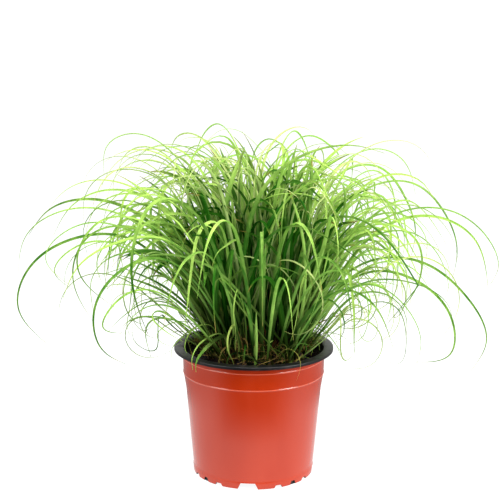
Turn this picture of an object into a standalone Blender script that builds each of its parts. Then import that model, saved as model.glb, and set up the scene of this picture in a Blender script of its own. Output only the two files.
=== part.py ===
"""A potted umbrella sedge: a young clump of arching leaves in a 12 cm nursery pot.

Metres, +Z up. The origin is on the pot's axis at the surface it stands on. -Y is the front.
"""

from math import cos, degrees, pi, radians, sin, sqrt
from random import Random
from typing import NamedTuple

import bmesh
import bpy
import numpy as np
from mathutils import Matrix, Vector

MM = 0.001

# Driving dimensions
RIM_RADIUS = 60 * MM
POT_HEIGHT = 97.5 * MM
COLLAR_RADIUS = 53.7 * MM
FOOT_RADIUS = 45.7 * MM
WALL = 1.1 * MM
SOIL_TOP = 88 * MM
CLUMP_X = 5 * MM
CROWN_RADIUS = 36 * MM
GAP = 0.3 * MM

# The pot
POT_STEPS = 40
RIM_THICK = 1.2 * MM
RIM_ROUND = 0.6 * MM
LIP_DROP = 2.2 * MM
LIP_THICK = 1.0 * MM
RIDGE_HEIGHTS = (90.5 * MM, 78 * MM)
RIDGE_PROUD = 0.4 * MM
RIDGE_HALF = 0.7 * MM
NECK_HEIGHT = 78 * MM
NECK_RADIUS = 53.1 * MM
SHOULDER_HEIGHT = 66 * MM
SHOULDER_RADIUS = 51.1 * MM
FOOT_HEIGHT = 5.2 * MM
FOOT_LEDGE = 0.3 * MM
FOOT_ROUND = 0.5 * MM
FLOOR_UNDER = 5.5 * MM
NOTCH_TURN = radians(-5)
CUT_MARGIN = 2 * MM
DRAIN_ANGLE = radians(45)
DRAIN_REACH = (33 * MM, 41 * MM)
DRAIN_WIDTH = 3.4 * MM

# (height, outer radius) up the wall, without its ridges
WALL_LINE = (
    (FOOT_HEIGHT, FOOT_RADIUS),
    (SHOULDER_HEIGHT, SHOULDER_RADIUS),
    (NECK_HEIGHT, NECK_RADIUS),
    (POT_HEIGHT, COLLAR_RADIUS),
)

# The soil's bank against the wall
BANK_RISE = 2.2 * MM
BANK_EDGE = 1.4 * MM
BANK_WIDTH = 3 * MM
FLAT_MARGIN = 6 * MM

# The crown, where all the leaves come from
CROWN_EDGE = 1 * MM
CROWN_RISE = 7 * MM
CROWN_STEPS = 24
DOME_SHARES = (1, 0.75, 0.4, 0)

# The crown's short leaves: how many, out of how many sites, and how far they keep from the others
CROWN_BLADES = 46
CROWN_SITES = 260
SITE_MARGIN = 4 * MM
BLADE_SUNK = 1.5 * MM
BLADE_CLEARANCE = 4 * MM
BLADE_HEIGHTS = (105 * MM, 150 * MM)
BLADE_WIDTHS = (2.8 * MM, 3.8 * MM)
EDGE_LOWER = 45 * MM
GOLDEN_ANGLE = pi * (3 - sqrt(5))

# Share of the height, stretch of the root's reach there, and further reach of an edge site's leaf
FAN = ((0.35, 1.25, 8 * MM), (0.75, 1.7, 26 * MM), (0.95, 2.0, 52 * MM))

# Every leaf: thickness at the root, depth of the channel beside the width, and the width's rule
BLADE_THICK = 0.6 * MM
TIP_THINNER = 0.6
BLADE_CHANNEL = 0.34
SHEATH_SHARE = 0.62
FULL_AT = 0.35
TAPER_POWER = 2.4
BLADE_STEP = 21 * MM
CROWN_STEP = 32 * MM
TRACE_STEP = 2.5 * MM


class Notch(NamedTuple):
    """One opening cut in the pot's foot, repeated at each quarter turn."""

    angle: float
    bottom: float
    top: float
    height: float
    depth: float


# Angle in degrees, then width at the ground, width at the top, height and depth inwards.
# The one at 45 degrees is blind: it stops in the thickness of the foot.
NOTCHES = (
    Notch(0, 15.2 * MM, 10.6 * MM, 4.9 * MM, 3 * MM),
    Notch(29, 6.6 * MM, 4.2 * MM, 2.2 * MM, 3 * MM),
    Notch(45, 5.6 * MM, 3 * MM, 3.2 * MM, 1 * MM),
    Notch(61, 6.6 * MM, 4.2 * MM, 2.2 * MM, 3 * MM),
)


class Leaf(NamedTuple):
    """A leaf in its own upright plane through the clump's axis."""

    side: str
    azimuth: float
    width: float
    root: float
    path: tuple
    fold: tuple = ()


# Side, azimuth in degrees from +X, width and root reach in mm, then (reach, height) in mm
# from the rise over the top to the tip. A folded leaf then runs straight to one more point.
LEAVES = (
    Leaf("left", 138, 2.4, 9, ((38, 185), (80, 236), (120, 236), (150, 212))),
    Leaf("left", 145, 2.2, 31, ((66, 145), (108, 172), (144, 160), (156, 134), (149, 111))),
    Leaf("left", 152, 2.4, 15, ((40, 180), (78, 239), (112, 251), (138, 238), (140, 218))),
    Leaf("left", 160, 3.4, 26, ((62, 155), (105, 193), (146, 200), (180, 188), (197, 168))),
    Leaf("left", 166, 2.4, 20, ((54, 165), (98, 212), (134, 217), (158, 206), (170, 192))),
    Leaf("left", 171, 2.8, 12, ((46, 170), (88, 208), (122, 211), (147, 197), (160, 176))),
    Leaf("left", 176, 2.6, 28, ((60, 150), (99, 192), (145, 198), (178, 176), (184, 148))),
    Leaf("left", 186, 2.8, 32, ((62, 145), (100, 181), (140, 180), (172, 157), (179, 130), (160, 103))),
    Leaf("left", 193, 2.2, 17, ((48, 150), (92, 190), (126, 186), (139, 158), (125, 122))),
    Leaf("left", 200, 2.4, 26, ((58, 155), (103, 192), (138, 196), (160, 176), (142, 153))),
    Leaf("left", 207, 2.4, 33, ((65, 145), (108, 181), (140, 186), (159, 169), (147, 156))),
    Leaf("left", 214, 3.8, 14, ((46, 155), (88, 188), (124, 187), (150, 174), (161, 155))),
    Leaf("left", 219, 2.2, 24, ((62, 163), (108, 204), (142, 205), (157, 184), (128, 146))),
    Leaf("left", 225, 2.2, 33, ((70, 130), (108, 157), (137, 154), (149, 141), (122, 130))),
    Leaf("left", 231, 2.6, 27, ((62, 145), (104, 179), (142, 180), (170, 158), (168, 136), (142, 115))),
    Leaf("left", 238, 3.6, 17, ((54, 165), (100, 218), (136, 221), (156, 188), (140, 138))),
    Leaf("right", -68, 2.6, 30, ((62, 148), (102, 184), (138, 178), (152, 146))),
    Leaf("right", -60, 2.2, 22, ((64, 152), (106, 174), (136, 160), (134, 139), (111, 125))),
    Leaf("right", -53, 2.4, 32, ((66, 138), (100, 158), (128, 150), (143, 128))),
    Leaf("right", -46, 3.8, 14, ((40, 165), (72, 203), (104, 203), (132, 184), (147, 168)), (118, 132)),
    Leaf("right", -39, 2.4, 33, ((62, 135), (98, 158), (126, 147), (139, 124), (136, 108))),
    Leaf("right", -32, 2.4, 24, ((60, 167), (98, 199), (125, 190), (128, 164), (106, 131))),
    Leaf("right", -25, 2.4, 17, ((53, 155), (88, 188), (118, 192), (138, 174), (145, 148))),
    Leaf("right", -18, 2.8, 30, ((52, 136), (88, 160), (119, 154), (143, 129), (143, 104), (114, 95))),
    Leaf("right", -10, 2.6, 34, ((50, 138), (82, 165), (117, 166), (151, 142), (167, 108), (157, 86))),
    Leaf("right", -3, 2.6, 25, ((56, 158), (100, 199), (136, 202), (169, 178), (175, 158), (170, 147))),
    Leaf("right", 5, 3.0, 31, ((60, 150), (100, 190), (135, 193), (162, 176), (174, 138))),
    Leaf("right", 12, 2.8, 15, ((44, 170), (84, 215), (117, 217), (144, 193), (155, 163), (152, 142))),
    Leaf("right", 18, 2.6, 27, ((58, 155), (90, 191), (118, 202), (138, 187), (153, 166))),
    Leaf("right", 25, 2.4, 11, ((36, 190), (68, 232), (100, 241), (124, 229), (134, 204))),
    Leaf("right", 32, 3.6, 19, ((44, 175), (76, 224), (108, 225), (136, 199), (148, 167), (144, 150))),
    Leaf("right", 40, 2.6, 30, ((62, 158), (102, 198), (138, 190), (156, 158), (152, 134))),
    Leaf("top", 48, 2.8, 6, ((10, 180), (24, 238), (50, 251), (78, 243), (92, 234)), (38, 221)),
    Leaf("top", 66, 2.4, 8, ((16, 178), (38, 242), (62, 253), (90, 238), (107, 206))),
    Leaf("top", 124, 2.4, 7, ((12, 180), (34, 245), (58, 259), (82, 248), (98, 220))),
    Leaf("top", 180, 3.4, 5, ((8, 150), (14, 200), (18, 247))),
    Leaf("top", 330, 3.4, 6, ((12, 150), (22, 200), (42, 246))),
    Leaf("top", 262, 3.0, 7, ((14, 150), (22, 195), (40, 240))),
    Leaf("top", 96, 3.2, 9, ((18, 150), (30, 196), (50, 232))),
    Leaf("top", 205, 3.4, 11, ((22, 150), (38, 200), (62, 238))),
    Leaf("top", 12, 3.0, 8, ((16, 150), (28, 196), (46, 238))),
    Leaf("front", 246, 2.6, 30, ((60, 150), (98, 186), (134, 180), (154, 148))),
    Leaf("front", 254, 3.2, 18, ((46, 165), (86, 206), (124, 202), (149, 168))),
    Leaf("front", 270, 3.0, 22, ((48, 165), (88, 200), (126, 192), (150, 152))),
    Leaf("front", 278, 2.4, 33, ((58, 140), (88, 168), (120, 166), (140, 140))),
    Leaf("front", 285, 3.4, 14, ((40, 160), (80, 203), (118, 202), (146, 168))),
    Leaf("back", 55, 2.4, 22, ((56, 165), (98, 206), (136, 198), (156, 160), (150, 130))),
    Leaf("back", 74, 2.8, 31, ((62, 150), (100, 185), (132, 175), (150, 140), (146, 112))),
    Leaf("back", 83, 3.0, 18, ((46, 170), (84, 214), (124, 212), (150, 172), (152, 140))),
    Leaf("back", 92, 2.6, 33, ((64, 140), (102, 166), (134, 150), (144, 118))),
    Leaf("back", 101, 2.8, 21, ((50, 165), (90, 203), (128, 196), (151, 158))),
    Leaf("back", 109, 2.4, 32, ((64, 150), (104, 186), (138, 178), (156, 144))),
    Leaf("back", 117, 2.6, 17, ((46, 170), (84, 218), (122, 222), (150, 190), (154, 160))),
    Leaf("back", 131, 2.8, 28, ((60, 155), (102, 194), (142, 188), (168, 154), (166, 124))),
)

POT_RED = (0.62, 0.08, 0.035, 1)
SOIL_BROWN = (0.035, 0.024, 0.017, 1)
CROWN_GREEN = (0.10, 0.22, 0.03, 1)
LEAF_GREEN = (0.20, 0.42, 0.05, 1)


def finish(name, colour, roughness):
    """A plain material of one colour."""
    material = bpy.data.materials.new(name)
    material.use_nodes = True
    shader = material.node_tree.nodes["Principled BSDF"]
    shader.inputs["Base Color"].default_value = colour
    shader.inputs["Roughness"].default_value = roughness
    return material


def add_object(name, bm, material):
    """Puts the mesh in the scene as one named object, shaded smooth with its sharp edges kept."""
    bmesh.ops.recalc_face_normals(bm, faces=bm.faces)
    mesh = bpy.data.meshes.new(name)
    bm.to_mesh(mesh)
    bm.free()
    mesh.shade_smooth()
    mesh.set_sharp_from_angle(angle=radians(35))
    mesh.materials.append(material)
    obj = bpy.data.objects.new(name, mesh)
    bpy.context.scene.collection.objects.link(obj)
    return obj


def turned(profile, steps):
    """A solid turned about Z from (radius, height) points that start and end on the axis."""
    bm = bmesh.new()
    points = [bm.verts.new((radius, 0, height)) for radius, height in profile]
    edges = [bm.edges.new(pair) for pair in zip(points, points[1:])]
    bmesh.ops.spin(bm, geom=points + edges, cent=(0, 0, 0), axis=(0, 0, 1), angle=2 * pi, steps=steps)
    bmesh.ops.remove_doubles(bm, verts=bm.verts, dist=0.01 * MM)
    return bm


def wall_radius(height):
    """Outer radius of the pot's wall at a height, without its ridges."""
    heights, radii = zip(*WALL_LINE)
    return float(np.interp(height, heights, radii))


def ridge(height):
    """Outline of a thin ridge round the wall, from above it to below it."""
    over, under = height + RIDGE_HALF, height - RIDGE_HALF
    crest = (wall_radius(height) + RIDGE_PROUD, height)
    return ((wall_radius(over), over), crest, (wall_radius(under), under))


def pot_profile():
    """Half section of the pot from its floor up the inside, over the rim and down the outside."""
    floor_top = FLOOR_UNDER + WALL
    under_rim = POT_HEIGHT - RIM_THICK
    foot_inside = FOOT_RADIUS - FOOT_ROUND - WALL
    return (
        (0, floor_top),
        (wall_radius(floor_top) - WALL, floor_top),
        (SHOULDER_RADIUS - WALL, SHOULDER_HEIGHT),
        (NECK_RADIUS - WALL, NECK_HEIGHT),
        (wall_radius(under_rim) - WALL, under_rim),
        (COLLAR_RADIUS, POT_HEIGHT),
        (RIM_RADIUS - RIM_ROUND, POT_HEIGHT),
        (RIM_RADIUS, POT_HEIGHT - RIM_ROUND),
        (RIM_RADIUS, POT_HEIGHT - LIP_DROP),
        (RIM_RADIUS - LIP_THICK, POT_HEIGHT - LIP_DROP),
        (RIM_RADIUS - LIP_THICK, under_rim),
        (wall_radius(under_rim), under_rim),
        *ridge(RIDGE_HEIGHTS[0]),
        *ridge(RIDGE_HEIGHTS[1]),
        (SHOULDER_RADIUS, SHOULDER_HEIGHT),
        (FOOT_RADIUS, FOOT_HEIGHT),
        (FOOT_RADIUS + FOOT_LEDGE, FOOT_HEIGHT - FOOT_LEDGE),
        (FOOT_RADIUS, FOOT_ROUND),
        (FOOT_RADIUS - FOOT_ROUND, 0),
        (foot_inside, 0),
        (foot_inside, FLOOR_UNDER),
        (0, FLOOR_UNDER),
    )


def add_block(bm, angle, reach, widths, height):
    """Adds a block that tapers from just under the ground to a height, turned to an angle about Z."""
    block = bmesh.ops.create_cube(bm, size=1)["verts"]
    flare = (widths[0] - widths[1]) * MM / height
    for vert in block:
        width = widths[0] + flare if vert.co.z < 0 else widths[1]
        edge = reach[0] if vert.co.y < 0 else reach[1]
        vert.co = (vert.co.x * width, edge, height if vert.co.z > 0 else -MM)
    bmesh.ops.rotate(bm, verts=block, matrix=Matrix.Rotation(angle, 3, "Z"))


def notch_cutter():
    """All the blocks that cut the pot's foot and the drain slots in its floor, as one hidden object."""
    bm = bmesh.new()
    for quarter in range(4):
        turn = radians(90 * quarter) + NOTCH_TURN
        for notch in NOTCHES:
            reach = (FOOT_RADIUS - notch.depth, FOOT_RADIUS + CUT_MARGIN)
            add_block(bm, radians(notch.angle) + turn, reach, (notch.bottom, notch.top), notch.height)
        above_floor = FLOOR_UNDER + WALL + CUT_MARGIN
        add_block(bm, DRAIN_ANGLE + turn, DRAIN_REACH, (DRAIN_WIDTH, DRAIN_WIDTH), above_floor)
    cutter = add_object("notch_cutter", bm, finish("cutter", (1, 1, 1, 1), 0.5))
    cutter.hide_render = True
    cutter.display_type = "WIRE"
    return cutter


def make_pot():
    """The nursery pot, its foot notched and its floor raised."""
    pot = add_object("pot", turned(pot_profile(), POT_STEPS), finish("pot", POT_RED, 0.38))
    cut = pot.modifiers.new("foot notches", "BOOLEAN")
    cut.operation = "DIFFERENCE"
    cut.object = notch_cutter()


def make_soil():
    """The plug of soil, with a low bank against the wall round the flat that carries the crown."""
    bottom = FLOOR_UNDER + WALL + GAP
    side = WALL + 2 * GAP
    edge = wall_radius(SOIL_TOP) - side
    profile = (
        (0, SOIL_TOP),
        (CROWN_RADIUS + FLAT_MARGIN, SOIL_TOP),
        (edge - BANK_WIDTH, SOIL_TOP + BANK_RISE),
        (edge, SOIL_TOP + BANK_EDGE),
        (NECK_RADIUS - side, NECK_HEIGHT),
        (SHOULDER_RADIUS - side, SHOULDER_HEIGHT),
        (wall_radius(bottom) - side, bottom),
        (0, bottom),
    )
    add_object("soil", turned(profile, POT_STEPS), finish("soil", SOIL_BROWN, 0.95))


def crown_height(reach):
    """Height of the crown's domed top at a distance from the clump's axis."""
    share = min(abs(reach) / CROWN_RADIUS, 1)
    return SOIL_TOP + GAP + CROWN_EDGE + CROWN_RISE * (1 - share**2)


def smooth_path(knots, spacing):
    """Evenly spaced points on the natural cubic spline through the knots, as a bent strip lies."""
    knots = np.array(knots, float)
    runs = np.linalg.norm(np.diff(knots, axis=0), axis=1)
    at = np.concatenate([[0], np.cumsum(runs)])
    count = len(knots)
    system, sides = np.eye(count), np.zeros_like(knots)
    for i in range(1, count - 1):
        system[i, i - 1 : i + 2] = runs[i - 1], 2 * (runs[i - 1] + runs[i]), runs[i]
        slopes = np.diff(knots[i - 1 : i + 2], axis=0) / runs[i - 1 : i + 1, None]
        sides[i] = 6 * (slopes[1] - slopes[0])
    bend = np.linalg.solve(system, sides)
    steps = max(4, round(at[-1] / spacing))
    places = np.linspace(0, at[-1], steps + 1)
    run = np.clip(np.searchsorted(at, places, side="right") - 1, 0, count - 2)
    length = runs[run][:, None]
    before = (places - at[run])[:, None]
    after = (at[run + 1] - places)[:, None]
    return (
        (bend[run] * after**3 + bend[run + 1] * before**3) / (6 * length)
        + (knots[run] / length - bend[run] * length / 6) * after
        + (knots[run + 1] / length - bend[run + 1] * length / 6) * before
    )


def leaf_points(leaf, spacing):
    """The leaf's middle line as (reach, height) points in metres, from the crown to its tip."""
    root = (leaf.root * MM, crown_height(leaf.root * MM) + 2 * GAP)
    knots = [root] + [(reach * MM, height * MM) for reach, height in leaf.path]
    points = list(smooth_path(knots, spacing))
    if leaf.fold:
        start, end = points[-1], np.array(leaf.fold) * MM
        points += [start + (end - start) * share for share in (0.5, 1)]
    return np.array(points)


def in_space(points, azimuth):
    """Turns (reach, height) points to the azimuth about the clump's axis."""
    turn = radians(azimuth)
    return [Vector((CLUMP_X + reach * cos(turn), reach * sin(turn), height)) for reach, height in points]


def blade_width(share, width):
    """Width at a share of the length: narrow at the sheath, full by a third, then a long taper."""
    opening = SHEATH_SHARE + (1 - SHEATH_SHARE) * sin(min(share / FULL_AT, 1) * pi / 2)
    return width * opening * (1 - share**TAPER_POWER)


def sweep_blade(bm, points, azimuth, width):
    """Adds one closed channelled blade along the points, from a flat root to a sharp tip."""
    turn = radians(azimuth)
    across = Vector((-sin(turn), cos(turn), 0))
    line = in_space(points, azimuth)
    rings = []
    for i, middle in enumerate(line[:-1]):
        along = (line[i + 1] - line[max(i - 1, 0)]).normalized()
        upper = along.cross(across).normalized()
        share = i / (len(line) - 1)
        wide = blade_width(share, width)
        thick = BLADE_THICK * (1 - TIP_THINNER * share) / 2
        edge = upper * wide * BLADE_CHANNEL
        side = across * wide / 2
        section = (edge - side, upper * thick, edge + side, -upper * thick)
        rings.append([bm.verts.new(middle + offset) for offset in section])
    for first, second in zip(rings, rings[1:]):
        for j in range(4):
            bm.faces.new((first[j], first[(j + 1) % 4], second[(j + 1) % 4], second[j]))
    tip = bm.verts.new(line[-1])
    for j in range(4):
        bm.faces.new((rings[-1][j], rings[-1][(j + 1) % 4], tip))
    bm.faces.new(rings[0])


def make_leaves():
    """Each main leaf as its own object, numbered within its side."""
    green = finish("leaf", LEAF_GREEN, 0.45)
    counts = {}
    for leaf in LEAVES:
        counts[leaf.side] = counts.get(leaf.side, 0) + 1
        bm = bmesh.new()
        sweep_blade(bm, leaf_points(leaf, BLADE_STEP), leaf.azimuth, leaf.width * MM)
        add_object(f"leaf_{leaf.side}_{counts[leaf.side]:02d}", bm, green)


def nearest(line, others):
    """The shortest distance from a line's points to those of all the other lines."""
    return sqrt(((np.array(line)[:, None] - others[None]) ** 2).sum(axis=2).min())


def crown_blades():
    """Short upright leaves on a sunflower pattern, each left out where a leaf stands too close."""
    rng = Random(7)
    taken = []
    for leaf in LEAVES:
        taken += in_space(leaf_points(leaf, TRACE_STEP), leaf.azimuth)
    chosen = []
    for site in range(CROWN_SITES):
        reach = (CROWN_RADIUS - SITE_MARGIN) * sqrt((site + 0.5) / CROWN_SITES)
        azimuth = degrees(site * GOLDEN_ANGLE)
        lean = reach / CROWN_RADIUS
        height = rng.uniform(*BLADE_HEIGHTS) - EDGE_LOWER * lean
        top = crown_height(reach)
        knots = [(reach, top - BLADE_SUNK)]
        knots += [(reach * stretch + more * lean, top + share * height) for share, stretch, more in FAN]
        line = in_space(smooth_path(knots, TRACE_STEP), azimuth)
        if nearest(line, np.array(taken)) < BLADE_CLEARANCE:
            continue
        taken += line
        chosen.append((knots, azimuth, rng.uniform(*BLADE_WIDTHS)))
    return chosen[:CROWN_BLADES]


def make_crown():
    """The cushion of shoot bases and the short upright leaves that grow from it, as one body."""
    green = finish("crown", CROWN_GREEN, 0.6)
    base = SOIL_TOP + GAP
    profile = [(0, base), (CROWN_RADIUS, base)]
    profile += [(CROWN_RADIUS * share, crown_height(CROWN_RADIUS * share)) for share in DOME_SHARES]
    dome = turned(profile, CROWN_STEPS)
    bmesh.ops.translate(dome, verts=dome.verts, vec=(CLUMP_X, 0, 0))
    crown = add_object("crown", dome, green)
    bm = bmesh.new()
    for knots, azimuth, width in crown_blades():
        sweep_blade(bm, smooth_path(knots, CROWN_STEP), azimuth, width)
    blades = add_object("crown_blades", bm, green)
    blades.hide_render = True
    blades.display_type = "WIRE"
    join = crown.modifiers.new("blades", "BOOLEAN")
    join.operation = "UNION"
    join.object = blades


def main():
    """Clears the scene and builds every piece."""
    for obj in list(bpy.data.objects):
        bpy.data.objects.remove(obj)
    make_pot()
    make_soil()
    make_crown()
    make_leaves()


main()
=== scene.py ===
"""Looks of a potted umbrella sedge: a young clump of arching leaves in a nursery pot.

Metres, +Z up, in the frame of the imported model. -Y is the front, where the camera stands.
"""

import logging
from dataclasses import dataclass
from enum import Enum
from math import cos, pi, radians, sin, sqrt
from random import Random

import bmesh
import bpy
import numpy as np
from mathutils import Matrix, Vector


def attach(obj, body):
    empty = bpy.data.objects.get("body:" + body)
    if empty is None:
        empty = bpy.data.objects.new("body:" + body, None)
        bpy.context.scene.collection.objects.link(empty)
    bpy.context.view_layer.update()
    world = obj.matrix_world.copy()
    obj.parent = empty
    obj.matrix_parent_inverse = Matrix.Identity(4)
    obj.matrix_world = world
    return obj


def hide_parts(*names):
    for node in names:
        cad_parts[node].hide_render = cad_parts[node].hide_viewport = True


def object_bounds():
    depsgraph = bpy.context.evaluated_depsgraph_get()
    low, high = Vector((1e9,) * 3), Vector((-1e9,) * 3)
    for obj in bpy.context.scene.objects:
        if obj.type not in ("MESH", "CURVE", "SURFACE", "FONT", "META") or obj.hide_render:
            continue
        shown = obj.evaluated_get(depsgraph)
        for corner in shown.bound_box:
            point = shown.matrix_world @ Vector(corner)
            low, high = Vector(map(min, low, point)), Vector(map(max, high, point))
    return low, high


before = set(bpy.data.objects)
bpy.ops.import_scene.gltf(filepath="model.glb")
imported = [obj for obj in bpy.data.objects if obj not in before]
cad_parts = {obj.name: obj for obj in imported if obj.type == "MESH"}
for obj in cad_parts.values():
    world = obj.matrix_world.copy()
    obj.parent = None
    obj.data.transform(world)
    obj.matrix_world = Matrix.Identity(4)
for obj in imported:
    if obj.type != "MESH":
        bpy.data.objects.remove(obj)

CAD_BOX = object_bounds()
LOG = logging.getLogger("sedge")

MM = 0.001
ROOT_BODY = "root"
GOLDEN_ANGLE = pi * (3 - sqrt(5))

Colour = tuple[float, float, float, float]
Range = tuple[float, float]
Triple = tuple[float, float, float]


class Slot(Enum):
    """The record's material slots."""

    POT = "pot_plastic"
    SOIL = "soil"
    CROWN = "shoot_bases"
    LEAF = "leaf"


class Side(Enum):
    """Where round the clump a main leaf stands."""

    LEFT = "left"
    RIGHT = "right"
    TOP = "top"
    FRONT = "front"
    BACK = "back"


def paint(red: int, green: int, blue: int) -> Colour:
    """Turns a display colour into the linear one that shaders take.

    Args:
        red: Red, 0 to 255.
        green: Green, 0 to 255.
        blue: Blue, 0 to 255.

    Returns:
        The linear colour with full opacity.
    """
    shares = (red / 255, green / 255, blue / 255)
    linear = [s / 12.92 if s <= 0.04045 else ((s + 0.055) / 1.055) ** 2.4 for s in shares]
    return (linear[0], linear[1], linear[2], 1.0)


@dataclass(frozen=True)
class PotSize:
    """The nursery pot's sizes, the same as those of its solid."""

    rim_radius: float = 60 * MM
    height: float = 97.5 * MM
    collar_radius: float = 53.7 * MM
    foot_radius: float = 45.7 * MM
    wall: float = 1.1 * MM
    rim_thick: float = 1.2 * MM
    rim_round: float = 0.6 * MM
    lip_drop: float = 2.2 * MM
    lip_thick: float = 1.0 * MM
    ridge_heights: Range = (90.5 * MM, 78 * MM)
    ridge_proud: float = 0.28 * MM
    ridge_half: float = 0.55 * MM
    neck: Range = (53.1 * MM, 78 * MM)
    shoulder: Range = (51.1 * MM, 66 * MM)
    rings: tuple[float, ...] = (76.6 * MM, 66 * MM, 44 * MM, 8 * MM)
    foot_height: float = 5.2 * MM
    foot_ledge: float = 0.3 * MM
    foot_round: float = 0.5 * MM
    floor_under: float = 5.5 * MM
    notch_turn: float = radians(-5)
    cut_margin: float = 2 * MM
    drain_reach: Range = (33 * MM, 41 * MM)
    drain_width: float = 3.4 * MM
    turns: int = 224
    round_steps: int = 5

    def wall_radius(self, height: float) -> float:
        """Outer radius of the wall at a height, without its ridges."""
        foot, top = (self.foot_radius, self.foot_height), (self.collar_radius, self.height)
        radii, heights = zip(foot, self.shoulder, self.neck, top)
        return float(np.interp(height, heights, radii))


@dataclass(frozen=True)
class Notch:
    """One opening in the pot's foot, repeated at each quarter turn."""

    angle: float
    bottom: float
    top: float
    height: float
    depth: float


NOTCHES = (
    Notch(0, 15.2 * MM, 10.6 * MM, 4.9 * MM, 3 * MM),
    Notch(29, 6.6 * MM, 4.2 * MM, 2.2 * MM, 3 * MM),
    Notch(45, 5.6 * MM, 3 * MM, 3.2 * MM, 1 * MM),
    Notch(61, 6.6 * MM, 4.2 * MM, 2.2 * MM, 3 * MM),
)


@dataclass(frozen=True)
class ClumpSize:
    """Where the clump stands on the soil, the same as in its solids."""

    soil_top: float = 88 * MM
    centre_x: float = 5 * MM
    crown_radius: float = 36 * MM
    crown_edge: float = 1 * MM
    crown_rise: float = 7 * MM
    gap: float = 0.3 * MM
    shoots: int = 96
    bare_front: float = 13 * MM
    kept_front: float = 0.22
    # painted shade on leaves heading to the front and painted light on leaves heading to the right, as shifts of their
    # tone
    painted_front_shade: float = 0.4
    painted_right_light: float = 0.22
    shoot_seed: int = 3
    tries: int = 60

    def crown_height(self, reach: float) -> float:
        """Height of the crown's domed top at a distance from the clump's axis."""
        share = min(abs(reach) / self.crown_radius, 1)
        return self.soil_top + self.gap + self.crown_edge + self.crown_rise * (1 - share**2)


POT = PotSize()
CLUMP = ClumpSize()


@dataclass(frozen=True)
class Leaf:
    """A main leaf, in its own upright plane through the clump's axis.

    Azimuth is in degrees from +X, width and root reach in mm, and the path's points are (reach, height)
    in mm from the rise over the top to the tip. A folded leaf then runs straight to one more point.
    Twist is in degrees from root to tip, and tone runs from deep green, 0, to yellow green, 1.
    """

    side: Side
    azimuth: float
    width: float
    root: float
    path: tuple[Range, ...]
    fold: tuple[float, ...] = ()
    twist: float = 80
    tone: float = 0.5


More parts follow.
